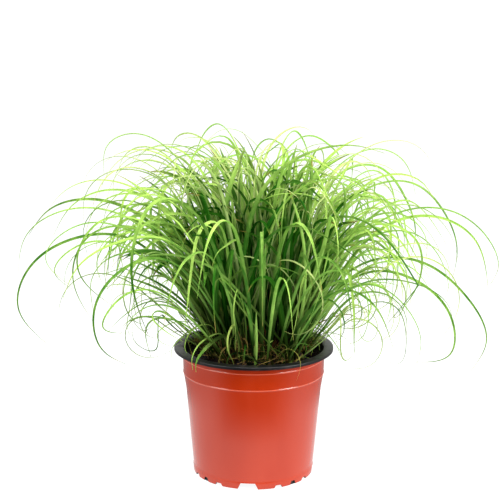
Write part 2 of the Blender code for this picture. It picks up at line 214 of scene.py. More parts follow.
L, R, T, F, B = Side.LEFT, Side.RIGHT, Side.TOP, Side.FRONT, Side.BACK
LEAVES = (
    Leaf(L, 138, 2.4, 9, ((38, 185), (80, 236), (120, 236), (150, 212)), twist=40, tone=0.7),
    Leaf(L, 145, 2.2, 31, ((66, 145), (108, 172), (144, 160), (156, 134), (149, 111)), tone=0.6),
    Leaf(L, 152, 2.4, 15, ((40, 180), (78, 239), (112, 251), (138, 238), (140, 218)), twist=-60, tone=0.45),
    Leaf(L, 160, 3.4, 26, ((62, 155), (105, 193), (146, 200), (180, 188), (197, 168)), twist=85, tone=0.4),
    Leaf(L, 166, 2.4, 20, ((54, 165), (98, 212), (134, 217), (158, 206), (170, 192)), twist=50, tone=0.75),
    Leaf(L, 171, 2.8, 12, ((46, 170), (88, 208), (122, 211), (147, 197), (160, 176)), twist=70, tone=0.6),
    Leaf(L, 176, 2.6, 28, ((60, 150), (99, 192), (145, 198), (178, 176), (184, 148)), twist=45, tone=0.6),
    Leaf(L, 186, 2.8, 32, ((62, 145), (100, 181), (140, 180), (172, 157), (179, 130), (160, 103)), twist=95, tone=0.4),
    Leaf(L, 193, 2.2, 17, ((48, 150), (92, 190), (126, 186), (139, 158), (125, 122)), twist=75, tone=0.5),
    Leaf(L, 200, 2.4, 26, ((58, 155), (103, 192), (138, 196), (160, 176), (142, 153)), twist=-50, tone=0.7),
    Leaf(L, 207, 2.4, 33, ((65, 145), (108, 181), (140, 186), (159, 169), (147, 156)), twist=60, tone=0.65),
    Leaf(L, 214, 3.8, 14, ((46, 155), (88, 188), (124, 187), (150, 174), (161, 155)), twist=35, tone=0.8),
    Leaf(L, 219, 2.2, 24, ((62, 163), (108, 204), (142, 205), (157, 184), (128, 146)), twist=70, tone=0.5),
    Leaf(L, 225, 2.2, 33, ((70, 130), (108, 157), (137, 154), (149, 141), (122, 130)), twist=60, tone=0.6),
    Leaf(L, 231, 2.6, 27, ((62, 145), (104, 179), (142, 180), (170, 158), (168, 136), (142, 115)), twist=80, tone=0.4),
    Leaf(L, 238, 3.6, 17, ((54, 165), (100, 218), (136, 221), (156, 188), (140, 138)), twist=30, tone=0.35),
    Leaf(R, -68, 2.6, 30, ((62, 148), (102, 184), (138, 178), (152, 146)), twist=-40, tone=0.45),
    Leaf(R, -60, 2.2, 22, ((64, 152), (106, 174), (136, 160), (134, 139), (111, 125)), twist=60, tone=0.6),
    Leaf(R, -53, 2.4, 32, ((66, 138), (100, 158), (128, 150), (143, 128)), twist=-70, tone=0.5),
    Leaf(R, -46, 3.8, 14, ((40, 165), (72, 203), (104, 203), (132, 184), (147, 168)), (118, 132), 30, 0.3),
    Leaf(R, -39, 2.4, 33, ((62, 135), (98, 158), (126, 147), (139, 124), (136, 108)), twist=60, tone=0.7),
    Leaf(R, -32, 2.4, 24, ((60, 167), (98, 199), (125, 190), (128, 164), (106, 131)), twist=-60, tone=0.6),
    Leaf(R, -25, 2.4, 17, ((53, 155), (88, 188), (118, 192), (138, 174), (145, 148)), twist=50, tone=0.75),
    Leaf(R, -18, 2.8, 30, ((52, 136), (88, 160), (119, 154), (143, 129), (143, 104), (114, 95)), twist=-80, tone=0.5),
    Leaf(R, -10, 2.6, 34, ((50, 138), (82, 165), (117, 166), (151, 142), (167, 108), (157, 86)), twist=-90, tone=0.45),
    Leaf(R, -3, 2.6, 25, ((56, 158), (100, 199), (136, 202), (169, 178), (175, 158), (170, 147)), twist=60, tone=0.55),
    Leaf(R, 5, 3.0, 31, ((60, 150), (100, 190), (135, 193), (162, 176), (174, 138)), twist=-95, tone=0.65),
    Leaf(R, 12, 2.8, 15, ((44, 170), (84, 215), (117, 217), (144, 193), (155, 163), (152, 142)), twist=70, tone=0.45),
    Leaf(R, 18, 2.6, 27, ((58, 155), (90, 191), (118, 202), (138, 187), (153, 166)), twist=-60, tone=0.6),
    Leaf(R, 25, 2.4, 11, ((36, 190), (68, 232), (100, 241), (124, 229), (134, 204)), twist=50, tone=0.6),
    Leaf(R, 32, 3.6, 19, ((44, 175), (76, 224), (108, 225), (136, 199), (148, 167), (144, 150)), twist=40, tone=0.55),
    Leaf(R, 40, 2.6, 30, ((62, 158), (102, 198), (138, 190), (156, 158), (152, 134)), twist=-70, tone=0.5),
    Leaf(T, 48, 2.8, 6, ((10, 180), (24, 238), (50, 251), (78, 243), (92, 234)), (38, 221), 40, 0.75),
    Leaf(T, 66, 2.4, 8, ((16, 178), (38, 242), (62, 253), (90, 238), (107, 206)), twist=60, tone=0.7),
    Leaf(T, 124, 2.4, 7, ((12, 180), (34, 245), (58, 259), (82, 248), (98, 220)), twist=-60, tone=0.7),
    Leaf(T, 180, 3.4, 5, ((8, 150), (14, 200), (18, 247)), twist=60, tone=0.25),
    Leaf(T, 330, 3.4, 6, ((12, 150), (22, 200), (42, 246)), twist=50, tone=0.2),
    Leaf(T, 262, 3.0, 7, ((14, 150), (22, 195), (40, 240)), twist=30, tone=0.35),
    Leaf(T, 96, 3.2, 9, ((18, 150), (30, 196), (50, 232)), twist=40, tone=0.2),
    Leaf(T, 205, 3.4, 11, ((22, 150), (38, 200), (62, 238)), twist=60, tone=0.25),
    Leaf(T, 12, 3.0, 8, ((16, 150), (28, 196), (46, 238)), twist=60, tone=0.3),
    Leaf(F, 246, 2.6, 30, ((60, 150), (98, 186), (134, 180), (154, 148)), twist=50, tone=0.55),
    Leaf(F, 254, 3.2, 18, ((46, 165), (86, 206), (124, 202), (149, 168)), twist=30, tone=0.6),
    Leaf(F, 270, 3.0, 22, ((48, 165), (88, 200), (126, 192), (150, 152)), twist=-40, tone=0.45),
    Leaf(F, 278, 2.4, 33, ((58, 140), (88, 168), (120, 166), (140, 140)), twist=50, tone=0.7),
    Leaf(F, 285, 3.4, 14, ((40, 160), (80, 203), (118, 202), (146, 168)), twist=-30, tone=0.5),
    Leaf(B, 55, 2.4, 22, ((56, 165), (98, 206), (136, 198), (156, 160), (150, 130)), tone=0.6),
    Leaf(B, 74, 2.8, 31, ((62, 150), (100, 185), (132, 175), (150, 140), (146, 112)), tone=0.4),
    Leaf(B, 83, 3.0, 18, ((46, 170), (84, 214), (124, 212), (150, 172), (152, 140)), tone=0.5),
    Leaf(B, 92, 2.6, 33, ((64, 140), (102, 166), (134, 150), (144, 118)), tone=0.65),
    Leaf(B, 101, 2.8, 21, ((50, 165), (90, 203), (128, 196), (151, 158)), tone=0.5),
    Leaf(B, 109, 2.4, 32, ((64, 150), (104, 186), (138, 178), (156, 144)), tone=0.6),
    Leaf(B, 117, 2.6, 17, ((46, 170), (84, 218), (122, 222), (150, 190), (154, 160)), tone=0.45),
    Leaf(B, 131, 2.8, 28, ((60, 155), (102, 194), (142, 188), (168, 154), (166, 124)), tone=0.55),
)


def smooth_path(knots: np.ndarray, spacing: float) -> np.ndarray:
    """Evenly spaced points on the natural cubic spline through the knots, as a bent strip lies.

    Args:
        knots: The points to pass through, one a row, in any number of dimensions.
        spacing: The distance wanted between neighbouring points.

    Returns:
        The points along the curve, one a row.
    """
    knots = np.array(knots, float)
    runs = np.linalg.norm(np.diff(knots, axis=0), axis=1)
    at = np.concatenate([[0], np.cumsum(runs)])
    count = len(knots)
    system, sides = np.eye(count), np.zeros_like(knots)
    for i in range(1, count - 1):
        system[i, i - 1 : i + 2] = runs[i - 1], 2 * (runs[i - 1] + runs[i]), runs[i]
        slopes = np.diff(knots[i - 1 : i + 2], axis=0) / runs[i - 1 : i + 1, None]
        sides[i] = 6 * (slopes[1] - slopes[0])
    bend = np.linalg.solve(system, sides)
    steps = max(4, round(at[-1] / spacing))
    places = np.linspace(0, at[-1], steps + 1)
    run = np.clip(np.searchsorted(at, places, side="right") - 1, 0, count - 2)
    length = runs[run][:, None]
    before = (places - at[run])[:, None]
    after = (at[run + 1] - places)[:, None]
    return (
        (bend[run] * after**3 + bend[run + 1] * before**3) / (6 * length)
        + (knots[run] / length - bend[run] * length / 6) * after
        + (knots[run + 1] / length - bend[run + 1] * length / 6) * before
    )


@dataclass(frozen=True)
class BladeShape:
    """How every leaf's width, keel and thickness run from its root to its tip."""

    sheath_share: float = 0.5
    full_at: float = 0.4
    taper_power: float = 3.4
    tip_share: float = 0.1
    channel: float = 0.34
    half_thickness: float = 0.075
    profile_points: int = 8
    spacing: float = 6 * MM

    def widths(self, count: int, width: float) -> np.ndarray:
        """Widths at evenly spaced points from root to tip.

        Args:
            count: How many points the leaf has.
            width: Its full width.

        Returns:
            The width at each point.
        """
        share = np.linspace(0, 1, count)
        opening = np.sin(np.minimum(share / self.full_at, 1) * pi / 2)
        opening = self.sheath_share + (1 - self.sheath_share) * opening
        return width * np.maximum(opening * (1 - share**self.taper_power), self.tip_share)


BLADE = BladeShape()
THREAD = BladeShape(full_at=0.2, taper_power=3, tip_share=0.2, channel=0.25, profile_points=6, spacing=4 * MM)
ROUND = BladeShape(sheath_share=0.36, taper_power=8)
BLUNT = BladeShape(taper_power=14)
SHEATH = BladeShape(sheath_share=1, taper_power=3.5, channel=0.5, spacing=4 * MM)


@dataclass
class Strand:
    """One leaf's middle line, with what its sweep and its finish need at each point."""

    points: np.ndarray
    upper: np.ndarray
    widths: np.ndarray
    tone: float
    age: float = 0.0


def make_strand(
    points: np.ndarray,
    across: np.ndarray,
    width: float,
    twist: float,
    tone: float,
    age: float = 0.0,
    shape: BladeShape = BLADE,
) -> Strand:
    """Works out which way a leaf's upper face looks along its line.

    Args:
        points: The middle line from root to tip.
        across: A level direction across the leaf at each point, or one for all.
        width: The leaf's full width.
        twist: How far the leaf turns about its own line by its tip, in radians.
        tone: Deep green, 0, to yellow green, 1.
        age: Fresh, 0, to dry, 1.
        shape: The rule for its width.

    Returns:
        The strand.
    """
    along = np.gradient(points, axis=0)
    along /= np.linalg.norm(along, axis=1)[:, None]
    across = np.broadcast_to(across, points.shape)
    upper = np.cross(along, across)
    upper /= np.linalg.norm(upper, axis=1)[:, None]
    beside = np.cross(upper, along)
    turn = (twist * np.linspace(0, 1, len(points)) ** 1.2)[:, None]
    upper = upper * np.cos(turn) + beside * np.sin(turn)
    return Strand(points, upper, shape.widths(len(points), width), tone, age)


class NodeGraph:
    """Short calls for building a shader's nodes."""

    def __init__(self, owner: bpy.types.Material | bpy.types.World) -> None:
        """Empties the tree of a material or of the world and keeps it."""
        owner.use_nodes = True
        self.tree = owner.node_tree
        self.tree.nodes.clear()

    def add(self, kind: str, **settings: object) -> bpy.types.Node:
        """Adds a node of a kind, with its settings."""
        node = self.tree.nodes.new(kind)
        for name, value in settings.items():
            setattr(node, name, value)
        return node

    def feed(self, socket: bpy.types.NodeSocket, value: object) -> None:
        """Links a socket into another, or sets it to a plain value."""
        if isinstance(value, bpy.types.NodeSocket):
            self.tree.links.new(value, socket)
        else:
            socket.default_value = value

    def attribute(self, name: str) -> bpy.types.NodeSocket:
        """The number that each point of the mesh carries under a name."""
        return self.add("ShaderNodeAttribute", attribute_name=name).outputs["Fac"]

    def place(self) -> bpy.types.NodeSocket:
        """The point's place in the object, in metres."""
        return self.add("ShaderNodeTexCoord").outputs["Object"]

    def apart(self) -> bpy.types.NodeOutputs:
        """X, Y and Z of the point's place in the object."""
        split = self.add("ShaderNodeSeparateXYZ")
        self.feed(split.inputs[0], self.place())
        return split.outputs

    def reach(self) -> bpy.types.NodeSocket:
        """The point's distance from the object's upright axis, in metres."""
        flat = self.add("ShaderNodeMapping")
        self.feed(flat.inputs["Vector"], self.place())
        flat.inputs["Scale"].default_value = (1, 1, 0)
        length = self.add("ShaderNodeVectorMath", operation="LENGTH")
        self.feed(length.inputs[0], flat.outputs[0])
        return length.outputs["Value"]

    def math(self, operation: str, *values: object) -> bpy.types.NodeSocket:
        """The result of a Math node."""
        node = self.add("ShaderNodeMath", operation=operation)
        for socket, value in zip(node.inputs, values):
            self.feed(socket, value)
        return node.outputs[0]

    def between(
        self, value: object, low: float, high: float, start: float = 0, end: float = 1
    ) -> bpy.types.NodeSocket:
        """Takes a value from low..high to start..end along a smooth step."""
        node = self.add("ShaderNodeMapRange", interpolation_type="SMOOTHSTEP")
        for socket, given in zip(node.inputs, (value, low, high, start, end)):
            self.feed(socket, given)
        return node.outputs["Result"]

    def blend(self, share: object, first: object, second: object, how: str = "MIX") -> bpy.types.NodeSocket:
        """Mixes two colours by a share."""
        node = self.add("ShaderNodeMix", data_type="RGBA", blend_type=how)
        colours = [socket for socket in node.inputs if socket.type == "RGBA"]
        self.feed(node.inputs[0], share)
        self.feed(colours[0], first)
        self.feed(colours[1], second)
        return [socket for socket in node.outputs if socket.type == "RGBA"][0]

    def noise(self, scale: float, detail: float = 3, stretch: Triple = (1, 1, 1)) -> bpy.types.NodeSocket:
        """Soft noise in object space, so many features to a metre."""
        mapping = self.add("ShaderNodeMapping")
        self.feed(mapping.inputs["Vector"], self.place())
        mapping.inputs["Scale"].default_value = stretch
        node = self.add("ShaderNodeTexNoise")
        self.feed(node.inputs["Vector"], mapping.outputs[0])
        node.inputs["Scale"].default_value = scale
        node.inputs["Detail"].default_value = detail
        return node.outputs["Fac"]

    def bump(self, height: bpy.types.NodeSocket, strength: float, distance: float) -> bpy.types.NodeSocket:
        """Surface direction disturbed by a height pattern."""
        node = self.add("ShaderNodeBump")
        node.inputs["Strength"].default_value = strength
        node.inputs["Distance"].default_value = distance
        self.feed(node.inputs["Height"], height)
        return node.outputs["Normal"]

    def surface(self, shader: bpy.types.NodeSocket, kind: str = "Material") -> None:
        """Sends a shader to the surface output."""
        self.feed(self.add("ShaderNodeOutput" + kind).inputs["Surface"], shader)


@dataclass(frozen=True)
class LeafFinish:
    """A leaf: its greens by tone, paler below and at the sheath, light passing through, with painted shade low in the
    clump's middle and painted light higher up.
    """

    name: str
    deep: Colour = paint(2, 96, 0)
    bright: Colour = paint(183, 213, 108)
    underside: Colour = paint(138, 202, 98)
    # shade: the dark green of the painted shade on leaves low in the clump's middle
    shade: Colour = paint(1, 24, 0)
    sheath: Colour = paint(150, 200, 72)
    root_stain: Colour = paint(74, 36, 20)
    dry: Colour = paint(176, 138, 80)
    through: Colour = paint(158, 214, 78)
    tones: Range = (0.14, 1.04)
    glow: float = 0.42
    roughness: float = 0.48
    gloss: float = 0.05
    underside_share: float = 0.3
    rib_share: float = 0.05
    # painted shade: the heights and distances from the axis over which it fades out, its strength, and the share of it
    # that bright leaves keep
    painted_shade_heights: Range = (96 * MM, 178 * MM)
    painted_shade_reach: Range = (40 * MM, 60 * MM)
    painted_shade_share: float = 0.95
    painted_shade_on_bright: float = 0.2
    # painted light: the heights over which leaves are painted lighter, and by how much
    painted_light_heights: Range = (175 * MM, 240 * MM)
    painted_light_share: float = 0.4

    def material(self) -> bpy.types.Material:
        """Builds the finish.

        Returns:
            The material, which reads the attributes that the leaves' sweep stores.
        """
        made = bpy.data.materials.new(self.name)
        graph = NodeGraph(made)
        tone, along, age = (graph.attribute(name) for name in ("tone", "along", "age"))
        under, across = graph.attribute("under"), graph.attribute("across")
        mottle = graph.noise(90, 2)
        height = graph.apart()["Z"]
        shade = graph.math("ADD", tone, graph.between(mottle, 0.3, 0.7, -0.12, 0.12))
        # painted light: leaves higher in the clump are painted lighter
        shade = graph.math("ADD", shade, graph.between(height, *self.painted_light_heights, 0, self.painted_light_share))
        green = graph.blend(graph.between(shade, *self.tones), self.deep, self.bright)
        pale = graph.between(tone, 0, 0.8, 0.05 * self.underside_share, self.underside_share)
        below = graph.math("MULTIPLY", graph.between(under, 0.45, 0.55), pale)
        green = graph.blend(below, green, self.underside)
        ribs = graph.math("SINE", graph.math("MULTIPLY", across, 24.0))
        green = graph.blend(graph.between(ribs, -1, 1, 0, self.rib_share), green, self.bright)
        midrib = graph.between(graph.math("ABSOLUTE", across), 0.04, 0.16, 0.12, 0)
        green = graph.blend(midrib, green, self.sheath)
        green = graph.blend(graph.between(along, 0.02, 0.2, 0.25, 0), green, self.sheath)
        # painted shade: leaves low in the clump's middle are painted dark green, bright leaves less so
        painted_shade = graph.between(height, *self.painted_shade_heights, self.painted_shade_share, 0)
        painted_shade = graph.math("MULTIPLY", painted_shade, graph.between(graph.reach(), *self.painted_shade_reach, 1, 0))
        painted_shade = graph.math("MULTIPLY", painted_shade, graph.between(tone, 0.5, 1, 1, self.painted_shade_on_bright))
        green = graph.blend(painted_shade, green, self.shade)
        green = graph.blend(graph.between(along, 0.0, 0.075, 0.9, 0), green, self.root_stain)
        tip = graph.math("MULTIPLY", graph.between(along, 0.9, 1.0), graph.between(mottle, 0.42, 0.6, 0, 0.7))
        green = graph.blend(tip, green, self.dry)
        green = graph.blend(age, green, self.dry)
        shader = graph.add("ShaderNodeBsdfPrincipled")
        graph.feed(shader.inputs["Base Color"], green)
        shader.inputs["Roughness"].default_value = self.roughness
        shader.inputs["Specular IOR Level"].default_value = self.gloss
        graph.feed(shader.inputs["Normal"], graph.bump(ribs, 0.35, 0.05 * MM))
        light = graph.add("ShaderNodeBsdfTranslucent")
        graph.feed(light.inputs["Color"], graph.blend(graph.between(tone, 0, 0.8, 0.02, 0.6), green, self.through))
        both = graph.add("ShaderNodeMixShader")
        both.inputs[0].default_value = self.glow
        graph.feed(both.inputs[1], shader.outputs[0])
        graph.feed(both.inputs[2], light.outputs[0])
        graph.surface(both.outputs[0])
        return made


@dataclass(frozen=True)
class TerracottaPlastic:
    """Satin terracotta plastic, paler along its two ridges: partly plastic whitened where it is stretched, partly a
    painted highlight.
    """

    colour: Colour = paint(149, 38, 3)
    deeper: Colour = paint(144, 35, 2)
    stress_white_and_highlight: Colour = paint(236, 112, 74)
    roughness: float = 0.14
    gloss: float = 0.75
    line: Range = (0.1 * MM, 0.5 * MM)

    def material(self) -> bpy.types.Material:
        """Builds the finish.

        Returns:
            The material.
        """
        made = bpy.data.materials.new("terracotta_plastic")
        graph = NodeGraph(made)
        height = graph.apart()["Z"]
        cloud = graph.noise(38, 4, (1, 1, 0.35))
        colour = graph.blend(graph.between(cloud, 0.35, 0.65), self.deeper, self.colour)
        # the ridges' pale lines: partly plastic whitened where it is stretched, partly a painted highlight
        for line in POT.ridge_heights:
            near = graph.math("ABSOLUTE", graph.math("SUBTRACT", height, line))
            colour = graph.blend(graph.between(near, *self.line, 0.35, 0), colour, self.stress_white_and_highlight)
        shader = graph.add("ShaderNodeBsdfPrincipled")
        graph.feed(shader.inputs["Base Color"], colour)
        shader.inputs["Specular IOR Level"].default_value = self.gloss
        rough = graph.between(cloud, 0.3, 0.7, self.roughness - 0.03, self.roughness + 0.04)
        graph.feed(shader.inputs["Roughness"], rough)
        graph.feed(shader.inputs["Normal"], graph.bump(graph.noise(900, 2), 0.06, 0.05 * MM))
        graph.surface(shader.outputs[0])
        return made


@dataclass(frozen=True)
class BlackPlastic:
    """The pot's inner layer and rim: black plastic with brown-grey patches that are partly dust and partly a painted
    sheen.
    """

    colour: Colour = paint(13, 12, 14)
    dust_and_sheen: Colour = paint(80, 70, 64)
    dust_and_sheen_share: float = 0.3
    roughness: float = 0.36
    gloss: float = 0.34

    def material(self) -> bpy.types.Material:
        """Builds the finish.

        Returns:
            The material.
        """
        made = bpy.data.materials.new("black_plastic")
        graph = NodeGraph(made)
        # brown-grey patches: partly dust, partly a painted sheen
        dust_and_sheen = graph.between(graph.noise(160, 5), 0.5, 0.75, 0, self.dust_and_sheen_share)
        shader = graph.add("ShaderNodeBsdfPrincipled")
        graph.feed(shader.inputs["Base Color"], graph.blend(dust_and_sheen, self.colour, self.dust_and_sheen))
        shader.inputs["Specular IOR Level"].default_value = self.gloss
        graph.feed(shader.inputs["Roughness"], graph.math("ADD", dust_and_sheen, self.roughness))
        graph.feed(shader.inputs["Normal"], graph.bump(graph.noise(700, 2), 0.1, 0.05 * MM))
        graph.surface(shader.outputs[0])
        return made


@dataclass(frozen=True)
class PottingSoil:
    """Dark moist peat: nearly black, with brown fibres and crumbs."""

    name: str
    dark: Colour = paint(8, 6, 5)
    brown: Colour = paint(38, 22, 14)
    pale: Colour = paint(104, 70, 42)
    pale_share: float = 0.15

    def material(self) -> bpy.types.Material:
        """Builds the finish.

        Returns:
            The material.
        """
        made = bpy.data.materials.new(self.name)
        graph = NodeGraph(made)
        coarse, fine = graph.noise(220, 4), graph.noise(900, 4)
        colour = graph.blend(graph.between(coarse, 0.42, 0.68), self.dark, self.brown)
        colour = graph.blend(graph.between(fine, 0.58, 0.75, 0, self.pale_share), colour, self.pale)
        shader = graph.add("ShaderNodeBsdfPrincipled")
        graph.feed(shader.inputs["Base Color"], colour)
        shader.inputs["Roughness"].default_value = 0.85
        shader.inputs["Specular IOR Level"].default_value = 0.25
        graph.feed(shader.inputs["Normal"], graph.bump(graph.math("ADD", coarse, fine), 0.9, 0.6 * MM))
        graph.surface(shader.outputs[0])
        return made


class NodeTree:
    """A geometry tree in the making: named inputs first, then nodes and links."""

    def __init__(self, name: str, inputs: dict[str, str]) -> None:
        """Starts the tree.

        Args:
            name: What the tree makes.
            inputs: The socket type of each named input, besides the geometry.
        """
        self.tree = bpy.data.node_groups.new(name, "GeometryNodeTree")
        self.tree.interface.new_socket("Geometry", in_out="INPUT", socket_type="NodeSocketGeometry")
        for label, kind in inputs.items():
            self.tree.interface.new_socket(label, in_out="INPUT", socket_type=kind)
        self.tree.interface.new_socket("Geometry", in_out="OUTPUT", socket_type="NodeSocketGeometry")
        self.given = self.tree.nodes.new("NodeGroupInput").outputs

    def add(self, kind: str, inputs: dict[str, object], **settings: object) -> bpy.types.Node:
        """Adds a node, its settings first and then its inputs, by name or by socket identifier.

        Args:
            kind: The node's type.
            inputs: What goes into each input: another node's socket or a plain value.
            settings: The node's own properties.

        Returns:
            The node.
        """
        node = self.tree.nodes.new(kind)
        for name, value in settings.items():
            setattr(node, name, value)
        sockets = {socket.name: socket for socket in reversed(node.inputs) if socket.enabled}
        sockets.update({socket.identifier: socket for socket in node.inputs if socket.name not in inputs})
        for label, value in inputs.items():
            if isinstance(value, bpy.types.NodeSocket):
                self.tree.links.new(value, sockets[label])
            else:
                sockets[label].default_value = value
        return node

    def math(self, operation: str, *values: object) -> bpy.types.NodeSocket:
        """The result of a Math node."""
        node = self.add("ShaderNodeMath", {}, operation=operation)
        for socket, value in zip(node.inputs, values):
            if isinstance(value, bpy.types.NodeSocket):
                self.tree.links.new(value, socket)
            else:
                socket.default_value = value
        return node.outputs[0]

    def finish(self, mesh: bpy.types.NodeSocket) -> None:
        """Ends the tree: instances realised, shaded smooth, and the material from the input of that name."""
        real = self.add("GeometryNodeRealizeInstances", {"Geometry": mesh})
        smooth = self.add("GeometryNodeSetShadeSmooth", {"Geometry": real.outputs[0]})
        dressed = self.add(
            "GeometryNodeSetMaterial", {"Geometry": smooth.outputs[0], "Material": self.given["Material"]}
        )
        out = self.tree.nodes.new("NodeGroupOutput")
        self.tree.links.new(dressed.outputs[0], out.inputs[0])

    def run(self, source: bpy.types.Mesh, name: str, values: dict[str, object]) -> bpy.types.Object:
        """Runs the tree on a mesh and keeps what it makes as a plain mesh.

        Args:
            source: The mesh that goes in.
            name: The new piece's name.
            values: What each named input is set to.

        Returns:
            The piece, with no modifier left on it.
        """
        piece = bpy.data.objects.new(name, source)
        bpy.context.scene.collection.objects.link(piece)
        modifier = piece.modifiers.new("tree", "NODES")
        modifier.node_group = self.tree
        identifiers = {item.name: item.identifier for item in self.tree.interface.items_tree if item.in_out == "INPUT"}
        for label, value in values.items():
            modifier[identifiers[label]] = value
        graph = bpy.context.evaluated_depsgraph_get()
        made = bpy.data.meshes.new_from_object(piece.evaluated_get(graph), depsgraph=graph)
        piece.modifiers.clear()
        piece.data = made
        made.name = name
        bpy.data.meshes.remove(source)
        return piece


class BladeSweep:
    """Sweeps the keeled leaf section along strands."""

    def __init__(self) -> None:
        """Builds the tree."""
        tree = NodeTree(
            "leaf sweep",
            {
                "Channel Depth": "NodeSocketFloat",
                "Half Thickness": "NodeSocketFloat",
                "Profile Points": "NodeSocketInt",
                "Material": "NodeSocketMaterial",
            },
        )
        circle = tree.add(
            "GeometryNodeCurvePrimitiveCircle", {"Resolution": tree.given["Profile Points"], "Radius": 1.0}
        )
        place = tree.add("GeometryNodeInputPosition", {})
        split = tree.add("ShaderNodeSeparateXYZ", {"Vector": place.outputs[0]})
        upward, sideways = split.outputs["X"], split.outputs["Y"]
        keel = tree.math("MULTIPLY", tree.math("ABSOLUTE", sideways), tree.given["Channel Depth"])
        thick = tree.math("MULTIPLY", upward, tree.given["Half Thickness"])
        section = tree.add(
            "ShaderNodeCombineXYZ", {"X": tree.math("ADD", keel, thick), "Y": tree.math("MULTIPLY", sideways, 0.5)}
        )
        across = self.note(tree, circle.outputs[0], "across", sideways)
        under = tree.math("SUBTRACT", 0.5, upward)
        under = self.note(tree, across, "under", under)
        profile = tree.add("GeometryNodeSetPosition", {"Geometry": under, "Position": section.outputs[0]})
        line = tree.add("GeometryNodeMeshToCurve", {"Mesh": tree.given["Geometry"]})
        upper = tree.add("GeometryNodeInputNamedAttribute", {"Name": "upper"}, data_type="FLOAT_VECTOR")
        turned = tree.add(
            "GeometryNodeSetCurveNormal", {"Curve": line.outputs[0], "Normal": upper.outputs[0]}, mode="FREE"
        )
        width = tree.add("GeometryNodeInputNamedAttribute", {"Name": "width"}, data_type="FLOAT")
        swept = tree.add(
            "GeometryNodeCurveToMesh",
            {
                "Curve": turned.outputs[0],
                "Profile Curve": profile.outputs[0],
                "Scale": width.outputs[0],
                "Fill Caps": True,
            },
        )
        tree.finish(swept.outputs[0])
        self.tree = tree

    @staticmethod
    def note(
        tree: NodeTree, geometry: bpy.types.NodeSocket, name: str, value: bpy.types.NodeSocket
    ) -> bpy.types.NodeSocket:
        """Stores a number on each point under a name."""
        node = tree.add("GeometryNodeStoreNamedAttribute", {"Geometry": geometry, "Name": name, "Value": value})
        return node.outputs[0]

    def grow(
        self, name: str, strands: list[Strand], material: bpy.types.Material, shape: BladeShape = BLADE
    ) -> bpy.types.Object:
        """Makes one piece of any number of leaves.

        Args:
            name: The piece's name.
            strands: The leaves' middle lines.
            material: Their finish.
            shape: Their section's proportions.

        Returns:
            The piece.
        """
        mesh = bpy.data.meshes.new(name + "_lines")
        points = np.concatenate([strand.points for strand in strands])
        ends = np.cumsum([len(strand.points) for strand in strands])
        starts = np.arange(len(points) - 1)
        starts = starts[~np.isin(starts, ends - 1)]
        mesh.from_pydata(points.tolist(), np.stack([starts, starts + 1], 1).tolist(), [])
        upper = mesh.attributes.new("upper", "FLOAT_VECTOR", "POINT")
        upper.data.foreach_set("vector", np.concatenate([s.upper for s in strands]).astype(np.float32).ravel())
        numbers = {
            "width": [s.widths for s in strands],
            "tone": [np.full(len(s.points), s.tone) for s in strands],
            "age": [np.full(len(s.points), s.age) for s in strands],
            "along": [np.linspace(0, 1, len(s.points)) for s in strands],
        }
        for label, values in numbers.items():
            attribute = mesh.attributes.new(label, "FLOAT", "POINT")
            attribute.data.foreach_set("value", np.concatenate(values).astype(np.float32))
        piece = self.tree.run(
            mesh,
            name,
            {
                "Channel Depth": shape.channel,
                "Half Thickness": shape.half_thickness,
                "Profile Points": shape.profile_points,
                "Material": material,
            },
        )
        piece.data.set_sharp_from_angle(angle=radians(60))
        return piece


def dress(piece: bpy.types.Object, slot: Slot, *nodes: str) -> bpy.types.Object:
    """Puts a finished piece on the object's only body, hides the CAD nodes that it stands for and logs its triangles.

    Args:
        piece: The piece.
        slot: The record's slot that its finish comes from. Not used.
        nodes: The CAD nodes that it replaces.

    Returns:
        The piece.
    """
    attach(piece, ROOT_BODY)
    if nodes:
        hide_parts(*nodes)
    triangles = sum(len(face.vertices) - 2 for face in piece.data.polygons)
    LOG.info("%s: %d triangles", piece.name, triangles)
    return piece


def arc(centre: Range, radius: float, start: float, end: float, steps: int) -> list[Range]:
    """Points on an arc in the (radius, height) plane, ends included, angles in degrees."""
    angles = [radians(start + (end - start) * i / steps) for i in range(steps + 1)]
    return [(centre[0] + radius * cos(a), centre[1] + radius * sin(a)) for a in angles]


